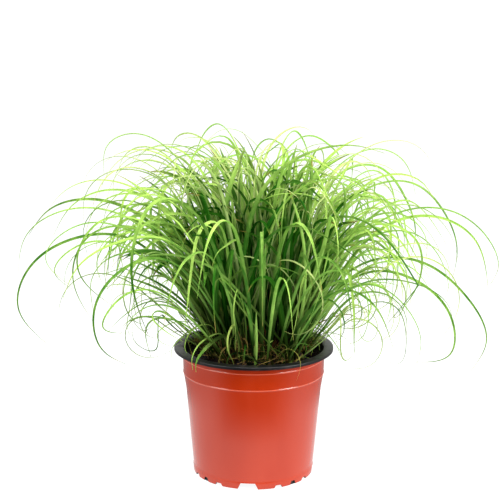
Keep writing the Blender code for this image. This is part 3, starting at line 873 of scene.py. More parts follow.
class NurseryPot:
    """The pot: terracotta outside, black inside and over the rim, with a notched foot."""

    def __init__(self, size: PotSize) -> None:
        """Keeps the pot's sizes."""
        self.size = size

    def inner_profile(self) -> list[Range]:
        """Half section from the floor's middle up the inside and over the rim to under the lip."""
        size = self.size
        under = size.height - size.rim_thick
        floor_top = size.floor_under + size.wall
        heights = (floor_top, size.shoulder[1], size.neck[1], under - size.rim_thick)
        roll = size.rim_round + size.wall
        bend = (size.wall_radius(size.height) - size.wall + roll, size.height - roll)
        edge = (size.rim_radius - size.rim_round, size.height - size.rim_round)
        points = [(0, floor_top)] + [(size.wall_radius(z) - size.wall, z) for z in heights]
        points += arc(bend, roll, 180, 90, size.round_steps)
        points += arc(edge, size.rim_round, 90, 0, size.round_steps)
        points += [(size.rim_radius, size.height - size.lip_drop)]
        points += [(size.rim_radius - size.lip_thick, size.height - size.lip_drop)]
        return points + [(size.rim_radius - size.lip_thick, under), (size.wall_radius(under), under)]

    def ridge(self, height: float) -> list[Range]:
        """Rounded outline of a ridge round the wall, from above it to below it."""
        size = self.size
        steps = range(-size.round_steps, size.round_steps + 1)
        places = [(height - size.ridge_half * i / size.round_steps, i / size.round_steps) for i in steps]
        return [(size.wall_radius(z) + size.ridge_proud * cos(share * pi / 2) ** 2, z) for z, share in places]

    def outer_profile(self) -> list[Range]:
        """Half section from under the lip down the outside, over both ridges, to the foot.

        The wall has rings between its corners, so that its straight stretches are shaded straight.
        """
        size = self.size
        under = size.height - size.rim_thick
        points = [(size.wall_radius(under), under)]
        for height in size.ridge_heights:
            points += self.ridge(height)
        points += [(size.wall_radius(z), z) for z in (*size.rings, size.foot_height + size.foot_ledge)]
        points += [(size.foot_radius + size.foot_ledge, size.foot_height - size.foot_ledge)]
        points += [(size.foot_radius, size.foot_round)]
        foot = (size.foot_radius - size.foot_round, size.foot_round)
        return points + arc(foot, size.foot_round, 0, -90, size.round_steps)[1:]

    def under_profile(self) -> list[Range]:
        """Half section from the foot's edge up its inside and along under the floor."""
        size = self.size
        foot_inside = size.foot_radius - size.foot_round - size.wall
        start = (size.foot_radius - size.foot_round, 0)
        return [start, (foot_inside, 0), (foot_inside, size.floor_under), (0, size.floor_under)]

    def body(self, materials: list[bpy.types.Material]) -> bpy.types.Object:
        """Turns the section about the axis, with the black layer's faces marked.

        Args:
            materials: Terracotta and black plastic, in this order.

        Returns:
            The turned pot.
        """
        bm = bmesh.new()
        sections = ((self.inner_profile(), 1), (self.outer_profile(), 0), (self.under_profile(), 1))
        for profile, layer in sections:
            verts = [bm.verts.new((radius, 0, height)) for radius, height in profile]
            edges = [bm.edges.new(pair) for pair in zip(verts, verts[1:])]
            before = set(bm.faces)
            bmesh.ops.spin(
                bm, geom=verts + edges, cent=(0, 0, 0), axis=(0, 0, 1), angle=2 * pi, steps=self.size.turns
            )
            for face in set(bm.faces) - before:
                face.material_index = layer
        bmesh.ops.remove_doubles(bm, verts=bm.verts, dist=0.01 * MM)
        bmesh.ops.recalc_face_normals(bm, faces=bm.faces)
        mesh = bpy.data.meshes.new("nursery_pot")
        bm.to_mesh(mesh)
        bm.free()
        for material in materials:
            mesh.materials.append(material)
        pot = bpy.data.objects.new("nursery_pot", mesh)
        bpy.context.scene.collection.objects.link(pot)
        return pot

    @staticmethod
    def add_block(bm: bmesh.types.BMesh, angle: float, reach: Range, widths: Range, height: float) -> None:
        """Adds a block that tapers from just under the ground to a height, turned to an angle.

        Args:
            bm: The mesh to add it to.
            angle: The turn about the pot's axis, in radians.
            reach: Its distances from the axis.
            widths: Its widths at the ground and at its top.
            height: Its top.
        """
        block = bmesh.ops.create_cube(bm, size=1)["verts"]
        flare = (widths[0] - widths[1]) * MM / height
        for vert in block:
            width = widths[0] + flare if vert.co.z < 0 else widths[1]
            edge = reach[0] if vert.co.y < 0 else reach[1]
            vert.co = (vert.co.x * width, edge, height if vert.co.z > 0 else -MM)
        bmesh.ops.rotate(bm, verts=block, matrix=Matrix.Rotation(angle, 3, "Z"))

    def cutter(self, material: bpy.types.Material) -> bpy.types.Object:
        """The tapered blocks that open the foot, whose faces take the given finish."""
        size = self.size
        bm = bmesh.new()
        drain = (size.drain_width, size.drain_width)
        for quarter in range(4):
            turn = radians(90 * quarter) + size.notch_turn
            for notch in NOTCHES:
                reach = (size.foot_radius - notch.depth, size.foot_radius + size.cut_margin)
                self.add_block(bm, radians(notch.angle) + turn, reach, (notch.bottom, notch.top), notch.height)
            above_floor = size.floor_under + size.wall + size.cut_margin
            self.add_block(bm, radians(45) + turn, size.drain_reach, drain, above_floor)
        bmesh.ops.recalc_face_normals(bm, faces=bm.faces)
        mesh = bpy.data.meshes.new("notches")
        bm.to_mesh(mesh)
        bm.free()
        mesh.materials.append(material)
        blocks = bpy.data.objects.new("notches", mesh)
        bpy.context.scene.collection.objects.link(blocks)
        return blocks

    def build(self) -> None:
        """Makes the pot, cuts its foot and shades it."""
        terracotta, black = TerracottaPlastic().material(), BlackPlastic().material()
        pot = self.body([terracotta, black])
        blocks = self.cutter(black)
        cut = pot.modifiers.new("notches", "BOOLEAN")
        cut.operation = "DIFFERENCE"
        cut.object = blocks
        cut.material_mode = "TRANSFER"
        graph = bpy.context.evaluated_depsgraph_get()
        mesh = bpy.data.meshes.new_from_object(pot.evaluated_get(graph), depsgraph=graph)
        pot.modifiers.clear()
        pot.data = mesh
        bpy.data.objects.remove(blocks)
        mesh.shade_smooth()
        mesh.set_sharp_from_angle(angle=radians(32))
        dress(pot, Slot.POT, "pot")


@dataclass
class SoilBed:
    """The potting soil: a rough top with crumbs, bark bits and dry fibres on it."""

    rings: int = 46
    turns: int = 168
    roughness: float = 1.3 * MM
    bank_rise: float = 2.2 * MM
    bank_width: float = 3 * MM
    crumb_density: float = 420000
    crumb_size: Range = (0.35 * MM, 1.25 * MM)
    seed: int = 11

    def edge(self) -> float:
        """Radius where the soil meets the wall."""
        return POT.wall_radius(CLUMP.soil_top) - POT.wall - 2 * CLUMP.gap

    def top(self, radius: float) -> float:
        """Height of the soil at a radius: flat, with a low bank against the wall."""
        share = (radius - (self.edge() - 3 * self.bank_width)) / (2 * self.bank_width)
        share = min(max(share, 0), 1)
        return CLUMP.soil_top + self.bank_rise * share**2 * (3 - 2 * share)

    def grid(self) -> bpy.types.Mesh:
        """The closed plug: a fine polar grid on top, a turned side and a flat bottom."""
        bm = bmesh.new()
        rng = Random(self.seed)
        waves = [(rng.uniform(90, 700), rng.uniform(0, 2 * pi), rng.uniform(0, 2 * pi)) for _ in range(26)]
        radii = [self.edge() * ring / self.rings for ring in range(1, self.rings + 1)]
        centre = bm.verts.new((0, 0, CLUMP.soil_top))
        loops = []
        for radius in radii:
            loop = []
            for turn in range(self.turns):
                angle = 2 * pi * turn / self.turns
                x, y = radius * cos(angle), radius * sin(angle)
                rough = sum(sin(k * (x * cos(a) + y * sin(a)) + p) / sqrt(k) for k, a, p in waves)
                fade = min(1, (self.edge() - radius) / MM + 0.25)
                loop.append(bm.verts.new((x, y, self.top(radius) + self.roughness * rough * fade)))
            loops.append(loop)
        bottom = POT.floor_under + POT.wall + CLUMP.gap
        side = POT.wall + 2 * CLUMP.gap
        lower = (
            (POT.neck[0] - side, POT.neck[1]),
            (POT.shoulder[0] - side, POT.shoulder[1]),
            (POT.wall_radius(bottom) - side, bottom),
        )
        for radius, height in lower:
            angles = [2 * pi * turn / self.turns for turn in range(self.turns)]
            loops.append([bm.verts.new((radius * cos(a), radius * sin(a), height)) for a in angles])
        for turn in range(self.turns):
            after = (turn + 1) % self.turns
            bm.faces.new((centre, loops[0][turn], loops[0][after]))
            for first, second in zip(loops, loops[1:]):
                bm.faces.new((first[turn], second[turn], second[after], first[after]))
        bm.faces.new(loops[-1])
        bmesh.ops.recalc_face_normals(bm, faces=bm.faces)
        mesh = bpy.data.meshes.new("potting_soil")
        bm.to_mesh(mesh)
        bm.free()
        mesh.shade_smooth()
        return mesh

    def crumb_tree(self) -> NodeTree:
        """The tree that scatters crumbs over the soil's top.

        Returns:
            The tree, with density, sizes and seed as named inputs.
        """
        tree = NodeTree(
            "soil crumbs",
            {
                "Density": "NodeSocketFloat",
                "Smallest": "NodeSocketFloat",
                "Largest": "NodeSocketFloat",
                "Seed": "NodeSocketInt",
                "Material": "NodeSocketMaterial",
            },
        )
        points = tree.add(
            "GeometryNodeDistributePointsOnFaces",
            {"Mesh": tree.given["Geometry"], "Density": tree.given["Density"], "Seed": tree.given["Seed"]},
        )
        crumb = tree.add("GeometryNodeMeshIcoSphere", {"Radius": 1.0, "Subdivisions": 1})
        turn = tree.add(
            "FunctionNodeRandomValue", {"Max": (2 * pi, 2 * pi, 2 * pi)}, data_type="FLOAT_VECTOR"
        )
        spread = tree.add(
            "FunctionNodeRandomValue",
            {"Min": (0.55, 0.55, 0.45), "Max": (1.5, 1.1, 1.0), "Seed": tree.given["Seed"]},
            data_type="FLOAT_VECTOR",
        )
        size = tree.add("FunctionNodeRandomValue", {"Max_001": 1.0, "Seed": 5}, data_type="FLOAT")
        share = tree.math("POWER", size.outputs[1], 3.0)
        wide = tree.math("SUBTRACT", tree.given["Largest"], tree.given["Smallest"])
        radius = tree.math("MULTIPLY_ADD", share, wide, tree.given["Smallest"])
        scale = tree.add("ShaderNodeVectorMath", {}, operation="SCALE")
        tree.tree.links.new(spread.outputs[0], scale.inputs[0])
        tree.tree.links.new(radius, scale.inputs["Scale"])
        placed = tree.add(
            "GeometryNodeInstanceOnPoints",
            {
                "Points": points.outputs["Points"],
                "Instance": crumb.outputs[0],
                "Rotation": turn.outputs[0],
                "Scale": scale.outputs[0],
            },
        )
        tree.finish(placed.outputs[0])
        return tree

    def crumb_ground(self) -> bpy.types.Mesh:
        """The flat ring that crumbs lie on, a little above the soil's mean height."""
        bm = bmesh.new()
        radii = [self.edge() * share for share in (0, 0.3, 0.6, 0.8, 0.88, 0.94, 0.965)]
        verts = [bm.verts.new((radius, 0, self.top(radius) + 0.2 * MM)) for radius in radii]
        edges = [bm.edges.new(pair) for pair in zip(verts, verts[1:])]
        bmesh.ops.spin(bm, geom=verts + edges, cent=(0, 0, 0), axis=(0, 0, 1), angle=2 * pi, steps=48)
        bmesh.ops.remove_doubles(bm, verts=bm.verts, dist=0.01 * MM)
        mesh = bpy.data.meshes.new("crumb_ground")
        bm.to_mesh(mesh)
        bm.free()
        return mesh

    def build(self) -> None:
        """Makes the soil and its crumbs."""
        soil = bpy.data.objects.new("potting_soil", self.grid())
        bpy.context.scene.collection.objects.link(soil)
        soil.data.materials.append(PottingSoil("peat").material())
        dress(soil, Slot.SOIL, "soil")
        crumbs = self.crumb_tree().run(
            self.crumb_ground(),
            "soil_crumbs",
            {
                "Density": self.crumb_density,
                "Smallest": self.crumb_size[0],
                "Largest": self.crumb_size[1],
                "Seed": self.seed,
                "Material": PottingSoil("peat_crumbs", dark=paint(22, 15, 10), pale_share=0.4).material(),
            },
        )
        dress(crumbs, Slot.SOIL)


class Tissue(Enum):
    """What a tuft's members are made of."""

    GREEN = "leaf"
    THIN = "thin_leaf"
    SHEATH = "dry_sheath"


@dataclass(frozen=True)
class Tuft:
    """A kind of leaf that stands many times over the crown, and how its members vary.

    Angles are in degrees, lengths, widths and limits in mm, and roots in shares of the crown's radius. A leaf
    leans from the upright at its root and tilts to its tip's angle between two shares of its length, more and
    more with the given power. None reaches wider or hangs lower than the limits. The kinds that stand on the
    bare front too are the small ones that curl over the soil.
    """

    name: str
    count: int
    seed: int
    roots: Range
    lean: Range
    tip: Range
    length: Range
    width: Range
    tone: Range
    straight: Range = (0.3, 0.5)
    bent: Range = (0.9, 1.1)
    power: Range = (1.0, 1.6)
    heading: float = 28
    swirl: float = 30
    wave: float = 5
    twist: float = 90
    age: Range = (0, 0.05)
    widest: float = 130
    lowest: float = 60
    shape: BladeShape = BLADE
    tissue: Tissue = Tissue.GREEN
    bare_too: bool = False


TUFTS = (
    # the core's low tones stand partly for a deeper green and partly for painted shade in the clump's middle
    Tuft(
        "core_leaves", 124, 21, roots=(0, 0.95), lean=(0, 20), tip=(50, 140), length=(105, 172),
        width=(2.6, 4.4), tone=(-0.1, 0.3), straight=(0.4, 0.6), power=(1.2, 2.2), heading=70, swirl=50, wave=4,
        widest=95, lowest=120, shape=ROUND,
    ),
    Tuft(
        "fan_leaves", 48, 22, roots=(0.6, 1), lean=(12, 42), tip=(60, 160), length=(115, 190),
        width=(3.2, 5), tone=(0.3, 0.95), straight=(0.4, 0.6), heading=30, swirl=40, wave=4, widest=122,
        lowest=140, shape=ROUND,
    ),
    Tuft(
        "arching_leaves", 120, 23, roots=(0.1, 1), lean=(2, 42), tip=(110, 200), length=(160, 245),
        width=(2.2, 3.6), tone=(0.5, 1.1), straight=(0.35, 0.6), bent=(0.7, 1), heading=45, swirl=70, wave=7,
        widest=132, lowest=125,
    ),
    Tuft(
        "side_leaves", 58, 29, roots=(0.6, 1), lean=(30, 54), tip=(110, 230), length=(110, 200),
        width=(1.6, 3), tone=(0.6, 1.1), straight=(0.3, 0.5), bent=(0.7, 1), heading=35, swirl=70, wave=8,
        widest=150, lowest=108,
    ),
    Tuft(
        "top_arcs", 42, 24, roots=(0, 0.7), lean=(0, 26), tip=(115, 215), length=(175, 245),
        width=(1.6, 2.8), tone=(0.6, 1.1), straight=(0.4, 0.6), heading=90, swirl=60, widest=135, lowest=180,
        tissue=Tissue.THIN,
    ),
    Tuft(
        "shoulder_arcs", 44, 32, roots=(0.2, 0.9), lean=(16, 40), tip=(130, 230), length=(185, 240),
        width=(1.6, 2.8), tone=(0.5, 1.1), straight=(0.45, 0.6), heading=25, swirl=50, widest=140, lowest=185,
        tissue=Tissue.THIN,
    ),
    Tuft(
        "curly_leaves", 84, 25, roots=(0.4, 1), lean=(8, 50), tip=(150, 310), length=(120, 240),
        width=(1.2, 2.2), tone=(0.5, 1.1), straight=(0.3, 0.5), power=(0.9, 1.5), heading=45, swirl=80, wave=10,
        twist=160, widest=160, lowest=100, shape=THREAD, tissue=Tissue.THIN,
    ),
    Tuft(
        "side_curls", 28, 30, roots=(0.75, 1), lean=(44, 66), tip=(220, 380), length=(95, 170),
        width=(1.0, 1.9), tone=(0.3, 1), straight=(0.25, 0.5), bent=(0.95, 1), power=(0.9, 1.2), heading=35,
        swirl=80, wave=12, twist=160, widest=125, lowest=92, shape=THREAD, tissue=Tissue.THIN,
    ),
    Tuft(
        "rim_curls", 50, 26, roots=(0.7, 1), lean=(26, 66), tip=(110, 270), length=(28, 85),
        width=(1.0, 2.0), tone=(0.2, 1), straight=(0.1, 0.3), heading=50, swirl=70, wave=8, twist=160,
        age=(0, 0.5), widest=76, lowest=90, shape=THREAD,
    ),
    Tuft(
        "soil_curls", 130, 31, roots=(0.45, 1), lean=(20, 60), tip=(110, 230), length=(16, 46),
        width=(1.0, 2.3), tone=(0.1, 0.9), straight=(0, 0.3), heading=50, swirl=80, wave=12, twist=160,
        age=(0, 0.35), widest=58, lowest=88, shape=THREAD, bare_too=True,
    ),
    Tuft(
        "shoot_sheaths", 150, 27, roots=(0, 1), lean=(0, 22), tip=(0, 40), length=(10, 28),
        width=(1.8, 3.2), tone=(0, 1), straight=(0.1, 0.3), heading=90, wave=2, widest=52, lowest=80,
        shape=SHEATH, tissue=Tissue.SHEATH, bare_too=True,
    ),
    Tuft(
        "dry_bits", 120, 28, roots=(0.45, 1), lean=(45, 86), tip=(60, 120), length=(10, 40),
        width=(0.5, 1.3), tone=(0, 1), straight=(0.1, 0.3), heading=70, swirl=60, wave=12, twist=160,
        age=(0.6, 1), widest=52, lowest=80, shape=THREAD, bare_too=True,
    ),
)


@dataclass(frozen=True)
class LooseLeaf:
    """A leaf near the rim or over the top, in an upright plane through the pot's axis.

    Azimuth is in degrees from +X, width and root reach in mm, and the path's points are (reach, height) in
    mm up to the tip.
    """

    azimuth: float
    width: float
    path: tuple[Range, ...]
    tone: float = 0.7
    root: float = 28
    twist: float = 60
    age: float = 0
    shape: BladeShape = THREAD


LOOSE = (
    LooseLeaf(205, 1.8, ((38, 117), (49, 115), (55, 107), (56, 102), (54, 97), (49, 93)), tone=0.9),
    LooseLeaf(228, 3.4, ((20, 106), (33, 110), (46, 108), (56, 103), (62, 97), (62, 90)), tone=0.55, root=10, shape=BLADE),
    LooseLeaf(248, 2.0, ((42, 122), (50, 116), (48, 104), (41, 96), (38, 91)), tone=0.9, age=0.2),
    LooseLeaf(255, 1.6, ((34, 140), (48, 150), (56, 138), (50, 118), (51, 107)), tone=0.8, root=20),
    LooseLeaf(345, 2.0, ((45, 122), (55, 112), (63, 102), (70, 93)), tone=0.5),
    LooseLeaf(338, 1.4, ((44, 118), (58, 117), (65, 108), (67, 100)), tone=0.8),
    LooseLeaf(318, 3.2, ((40, 112), (48, 111), (51, 104), (48, 95)), tone=0.35, root=24, shape=BLADE),
    LooseLeaf(300, 0.9, ((48, 106), (60, 106), (66, 100), (65, 94), (61, 86)), tone=1, age=0.7),
    LooseLeaf(195, 1.2, ((50, 118), (68, 116), (74, 109), (69, 103), (60, 101), (55, 103)), tone=0.9),
    LooseLeaf(190, 1.6, ((34, 116), (44, 113), (56, 104), (62, 97), (62, 89)), tone=0.7),
    LooseLeaf(358, 1.8, ((31, 117), (43, 113), (60, 101), (67, 87)), tone=0.6),
    LooseLeaf(225, 1.8, ((34, 112), (47, 112), (58, 107), (63, 99), (62, 91)), tone=0.8),
    LooseLeaf(285, 1.6, ((20, 108), (27, 103), (30, 92)), tone=0.8, root=12),
    LooseLeaf(272, 3.0, ((38, 100), (43, 118), (44, 134)), tone=1, root=33, twist=10, shape=BLADE),
    LooseLeaf(262, 2.4, ((36, 106), (48, 108), (52, 98)), tone=0.35, root=28, shape=BLADE),
    LooseLeaf(240, 2.2, ((34, 168), (62, 197), (81, 200), (93, 195), (98, 187)), tone=0.7, root=20, shape=BLADE),
    LooseLeaf(250, 2.4, ((16, 160), (34, 183), (60, 184), (79, 180), (86, 172)), tone=0.6, root=10, shape=BLADE),
    LooseLeaf(236, 3.0, ((34, 160), (50, 198), (66, 196), (75, 181), (82, 149), (87, 125)), tone=0.85, root=24, shape=BLADE),
    LooseLeaf(158, 2.4, ((40, 168), (74, 206), (102, 210), (122, 196), (128, 172)), 0.6, 16, shape=BLADE),
    LooseLeaf(172, 2.2, ((44, 160), (76, 192), (100, 196), (118, 182), (120, 160)), 0.7, 22, shape=BLADE),
    LooseLeaf(180, 2.8, ((34, 160), (62, 196), (88, 204), (108, 196), (116, 178)), 0.45, 14, shape=BLADE),
    LooseLeaf(188, 2.6, ((40, 165), (70, 205), (96, 214), (116, 204), (124, 184)), 0.5, 14, shape=BLADE),
    LooseLeaf(198, 2.2, ((46, 158), (80, 186), (104, 186), (118, 168), (112, 148)), 0.75, 24, shape=BLADE),
    LooseLeaf(205, 3.0, ((36, 160), (62, 192), (84, 196), (102, 182), (108, 160)), 0.5, 18, shape=BLADE),
    LooseLeaf(212, 2.4, ((42, 172), (70, 212), (92, 218), (108, 206), (112, 184)), 0.6, 14, shape=BLADE),
    LooseLeaf(166, 2.0, ((48, 156), (82, 180), (108, 178), (124, 160), (122, 142)), 0.8, 26, shape=BLADE),
    LooseLeaf(140, 1.6, ((20, 180), (28, 228), (40, 245), (60, 250), (74, 246), (81, 237)), tone=0.9, root=10),
    LooseLeaf(45, 1.5, ((16, 200), (14, 238), (4, 247), (-16, 260), (-39, 260), (-48, 254)), tone=0.9, root=12),
)


@dataclass(frozen=True)
class TopBlade:
    """A broad blade whose blunt end stands out of the clump: its root, a point on it and its end, in mm."""

    root: Range
    middle: Triple
    end: Triple
    width: float
    tone: float
    facing: float = 0


TOP_BLADES = (
    TopBlade((-14, -12), (-17, -25, 223), (-7, -25, 250), 3.4, 0.3, 10),
    TopBlade((30, -8), (40, -20, 219), (41, -20, 242), 3.8, 0.25, -10),
    TopBlade((10, 8), (13, 10, 218), (14, 10, 233), 3.4, 0.15),
    TopBlade((-14, 10), (-20, 15, 229), (-26, 15, 245), 3.4, 0.2, 15),
    TopBlade((16, 14), (23, 25, 216), (32, 25, 247), 3.2, 0.3, -20),
    TopBlade((2, -14), (11, -35, 196), (32, -35, 223), 4.0, 0.0, 20),
    TopBlade((28, -24), (32, -45, 197), (24, -45, 222), 2.2, 0.8),
)


class Clump:
    """All the leaves: the main ones, the crown's own, and the many more of their kinds."""

    def __init__(self, size: ClumpSize) -> None:
        """Keeps the clump's place, readies the sweep and the finishes, and sets out the shoots."""
        self.size = size
        self.sweep = BladeSweep()
        self.finishes = {
            Tissue.GREEN: LeafFinish("leaf").material(),
            # thin leaves keep most of the painted shade, however bright they are
            Tissue.THIN: LeafFinish(
                "thin_leaf", deep=paint(26, 106, 8), bright=paint(194, 208, 134), underside=paint(140, 196, 108),
                through=paint(168, 204, 106), painted_shade_on_bright=0.9,
            ).material(),
            Tissue.SHEATH: LeafFinish(
                "dry_sheath", deep=paint(40, 20, 12), bright=paint(110, 66, 36), underside=paint(104, 70, 42),
                sheath=paint(72, 38, 22), root_stain=paint(50, 24, 14), through=paint(110, 60, 26), glow=0.1,
            ).material(),
        }
        rng = Random(size.shoot_seed)
        self.spots = [
            (sqrt((i + 0.5) / size.shoots), i * GOLDEN_ANGLE + rng.gauss(0, 0.15)) for i in range(size.shoots)
        ]
        self.shoots = [
            (share, azimuth)
            for share, azimuth in self.spots
            if share * size.crown_radius * sin(azimuth) > -size.bare_front or rng.random() < size.kept_front
        ]

    def in_space(self, points: np.ndarray, azimuth: float, axis_x: float = CLUMP.centre_x) -> np.ndarray:
        """Turns (reach, height) points to an azimuth in degrees about an upright axis at y = 0."""
        turn = radians(azimuth)
        reach, height = points[:, 0], points[:, 1]
        return np.stack([axis_x + reach * cos(turn), reach * sin(turn), height], 1)

    def leaf_points(self, leaf: Leaf, spacing: float) -> np.ndarray:
        """The leaf's middle line as (reach, height) points, from the crown to its tip."""
        root = (leaf.root * MM, self.size.crown_height(leaf.root * MM) + 2 * self.size.gap)
        knots = [root] + [(reach * MM, height * MM) for reach, height in leaf.path]
        points = list(smooth_path(knots, spacing))
        if leaf.fold:
            start, end = points[-1], np.array(leaf.fold) * MM
            points += [start + (end - start) * share for share in np.linspace(0, 1, 14)[1:]]
        return np.array(points)

    def main_leaf(self, leaf: Leaf, name: str) -> None:
        """Grows one main leaf in place of its solid.

        Args:
            leaf: The leaf.
            name: Its CAD node.
        """
        turn = radians(leaf.azimuth)
        line = self.in_space(self.leaf_points(leaf, 3 * MM), leaf.azimuth)
        across = np.array((-sin(turn), cos(turn), 0))
        strand = make_strand(line, across, leaf.width * MM, radians(leaf.twist), leaf.tone)
        piece = self.sweep.grow(name.replace("leaf", "blade"), [strand], self.finishes[Tissue.GREEN])
        dress(piece, Slot.LEAF, name)

    def law_strand(self, tuft: Tuft, rng: Random, shoot: tuple[float, float]) -> Strand:
        """One leaf of a tuft, drawn at random within its ranges.

        Args:
            tuft: The kind of leaf.
            rng: The tuft's own random draws.
            shoot: Share of the crown's radius and azimuth in radians of where it stands.

        Returns:
            The strand.
        """
        share, azimuth = shoot
        out = (share - tuft.roots[0]) / (tuft.roots[1] - tuft.roots[0])
        lean = radians(tuft.lean[0] + (tuft.lean[1] - tuft.lean[0]) * out**1.3 + rng.gauss(0, 6))
        droop, power = radians(rng.uniform(*tuft.tip)) - lean, rng.uniform(*tuft.power)
        straight, bent = rng.uniform(*tuft.straight), rng.uniform(*tuft.bent)
        length = rng.uniform(*tuft.length) * MM
        heading = azimuth + radians(rng.gauss(0, tuft.heading))
        swirl = radians(rng.gauss(0, tuft.swirl))
        steps = max(8, round(length / tuft.shape.spacing))
        part = (np.arange(steps) + 0.5) / steps
        waves = [np.sin(2 * pi * rng.uniform(0.8, 2.2) * part + rng.uniform(0, 2 * pi)) * part for _ in range(2)]
        tilt = lean + droop * np.clip((part - straight) / (bent - straight), 0, 1) ** power
        tilt += radians(tuft.wave) * waves[0]
        way = heading + swirl * part**1.4 + 2 * radians(tuft.wave) * waves[1]
        ahead = np.stack([np.sin(tilt) * np.cos(way), np.sin(tilt) * np.sin(way), np.cos(tilt)], 1)
        reach = share * self.size.crown_radius
        start = (
            self.size.centre_x + reach * cos(azimuth) + rng.gauss(0, 1) * MM,
            reach * sin(azimuth) + rng.gauss(0, 1) * MM,
            self.size.crown_height(reach) - 1.5 * MM,
        )
        points = np.concatenate([[(0, 0, 0)], np.cumsum(ahead, axis=0) * length / steps]) + start
        across = np.stack([-np.sin(way), np.cos(way), 0 * way], 1)
        across = np.concatenate([across[:1], across])
        twist = radians(rng.uniform(-tuft.twist, tuft.twist))
        width, tone, age = (rng.uniform(*given) for given in (tuft.width, tuft.tone, tuft.age))
        # painted shade on leaves heading to the front, painted light on those heading to the right
        tone -= self.size.painted_front_shade * max(0, -sin(heading))
        tone += self.size.painted_right_light * max(0, cos(heading))
        return make_strand(points, across, width * MM, twist, tone, age, tuft.shape)

    def fits(self, points: np.ndarray, tuft: Tuft) -> bool:
        """Whether a leaf keeps off the pot and its front, inside the model's box and in its tuft's limits.

        Args:
            points: The leaf's middle line.
            tuft: Its tuft.

        Returns:
            True if it can stand there.
        """
        low, high = (np.array(corner) for corner in CAD_BOX)
        if (points < low - MM).any() or (points > high).any():
            return False
        x, y, z = points[1:].T
        if (np.hypot(x - self.size.centre_x, y) > tuft.widest * MM).any():
            return False
        radius = np.hypot(x, y)
        inside = radius <= POT.collar_radius - 3 * MM
        low_rim = ~inside & (radius < POT.rim_radius + 2 * MM) & (z < POT.height + 1.5 * MM)
        low_soil = inside & (z < CLUMP.soil_top + 2 * MM)
        low_tip = ~inside & (z < tuft.lowest * MM)
        sight = POT.height + 6 * MM + 0.31 * (-y - POT.rim_radius)
        before = ~inside & (y < -0.4 * POT.rim_radius) & (abs(x) < POT.rim_radius + 4 * MM) & (z < sight)
        return not (low_rim | low_soil | low_tip | before).any()

    def tuft(self, tuft: Tuft) -> None:
        """Grows every leaf of a tuft as one piece, shoot by shoot."""
        rng = Random(tuft.seed)
        ground = self.spots if tuft.bare_too else self.shoots
        shoots = [shoot for shoot in ground if tuft.roots[0] <= shoot[0] <= tuft.roots[1]]
        strands = []
        for number in range(tuft.count):
            for _ in range(self.size.tries):
                strand = self.law_strand(tuft, rng, shoots[number % len(shoots)])
                if self.fits(strand.points, tuft):
                    strands.append(strand)
                    break
        piece = self.sweep.grow(tuft.name, strands, self.finishes[tuft.tissue], tuft.shape)
        LOG.info("%s: %d of %d leaves", tuft.name, len(strands), tuft.count)
        dress(piece, Slot.LEAF)

    def loose_leaves(self) -> None:
        """Grows the leaves that hang over the rim and the top, threads and broad ones as a piece each."""
        for name, shape in (("loose_threads", THREAD), ("loose_leaves", BLADE)):
            strands = []
            for leaf in (leaf for leaf in LOOSE if leaf.shape is shape):
                turn, root = radians(leaf.azimuth), leaf.root * MM
                knots = [(root, self.size.crown_height(root) - MM)] + [(r * MM, h * MM) for r, h in leaf.path]
                line = self.in_space(smooth_path(knots, 3 * MM), leaf.azimuth, axis_x=0)
                across = np.array((-sin(turn), cos(turn), 0))
                strands.append(
                    make_strand(line, across, leaf.width * MM, radians(leaf.twist), leaf.tone, leaf.age, shape)
                )
            dress(self.sweep.grow(name, strands, self.finishes[Tissue.GREEN], shape), Slot.LEAF)

    def top_blades(self) -> None:
        """Grows the broad blades whose blunt ends stand out of the clump, as one piece."""
        strands = []
        for blade in TOP_BLADES:
            x, y = (value * MM for value in blade.root)
            base = (x, y, self.size.crown_height(sqrt((x - self.size.centre_x) ** 2 + y**2)) - MM)
            knots = [base] + [tuple(value * MM for value in point) for point in (blade.middle, blade.end)]
            facing = radians(blade.facing)
            across = np.array((cos(facing), sin(facing), 0))
            line = smooth_path(knots, 4 * MM)
            strands.append(make_strand(line, across, blade.width * MM, radians(12), blade.tone, 0, BLUNT))
        dress(self.sweep.grow("top_blades", strands, self.finishes[Tissue.GREEN], BLUNT), Slot.LEAF)

    def crown_blades(self) -> list[Strand]:
        """The crown's own short upright leaves, where its solid has them."""
        rng = Random(7)
        sites, clearance = 260, 4 * MM
        taken = np.concatenate([self.in_space(self.leaf_points(leaf, 2.5 * MM), leaf.azimuth) for leaf in LEAVES])
        chosen = []
        for site in range(sites):
            reach = (self.size.crown_radius - 4 * MM) * sqrt((site + 0.5) / sites)
            azimuth = site * GOLDEN_ANGLE
            lean = reach / self.size.crown_radius
            height = rng.uniform(105 * MM, 150 * MM) - 45 * MM * lean
            top = self.size.crown_height(reach)
            knots = [(reach, top - 1.5 * MM)]
            fan = ((0.35, 1.25, 8 * MM), (0.75, 1.7, 26 * MM), (0.95, 2.0, 52 * MM))
            knots += [(reach * stretch + more * lean, top + share * height) for share, stretch, more in fan]
            line = self.in_space(smooth_path(knots, 2.5 * MM), azimuth * 180 / pi)
            if ((line[:, None] - taken[None]) ** 2).sum(axis=2).min() < clearance**2:
                continue
            taken = np.concatenate([taken, line])
            across = np.array((-sin(azimuth), cos(azimuth), 0))
            width = rng.uniform(2.8 * MM, 3.8 * MM)
            # besides a tone that steps from leaf to leaf, outer crown leaves are painted lighter and inner ones
            # darker: painted light and shade across the crown
            tone = 0.05 + 0.3 * (len(chosen) % 7) / 6 + 0.35 * lean**2
            chosen.append(make_strand(line, across, width, radians(50), tone))
        return chosen[:46]

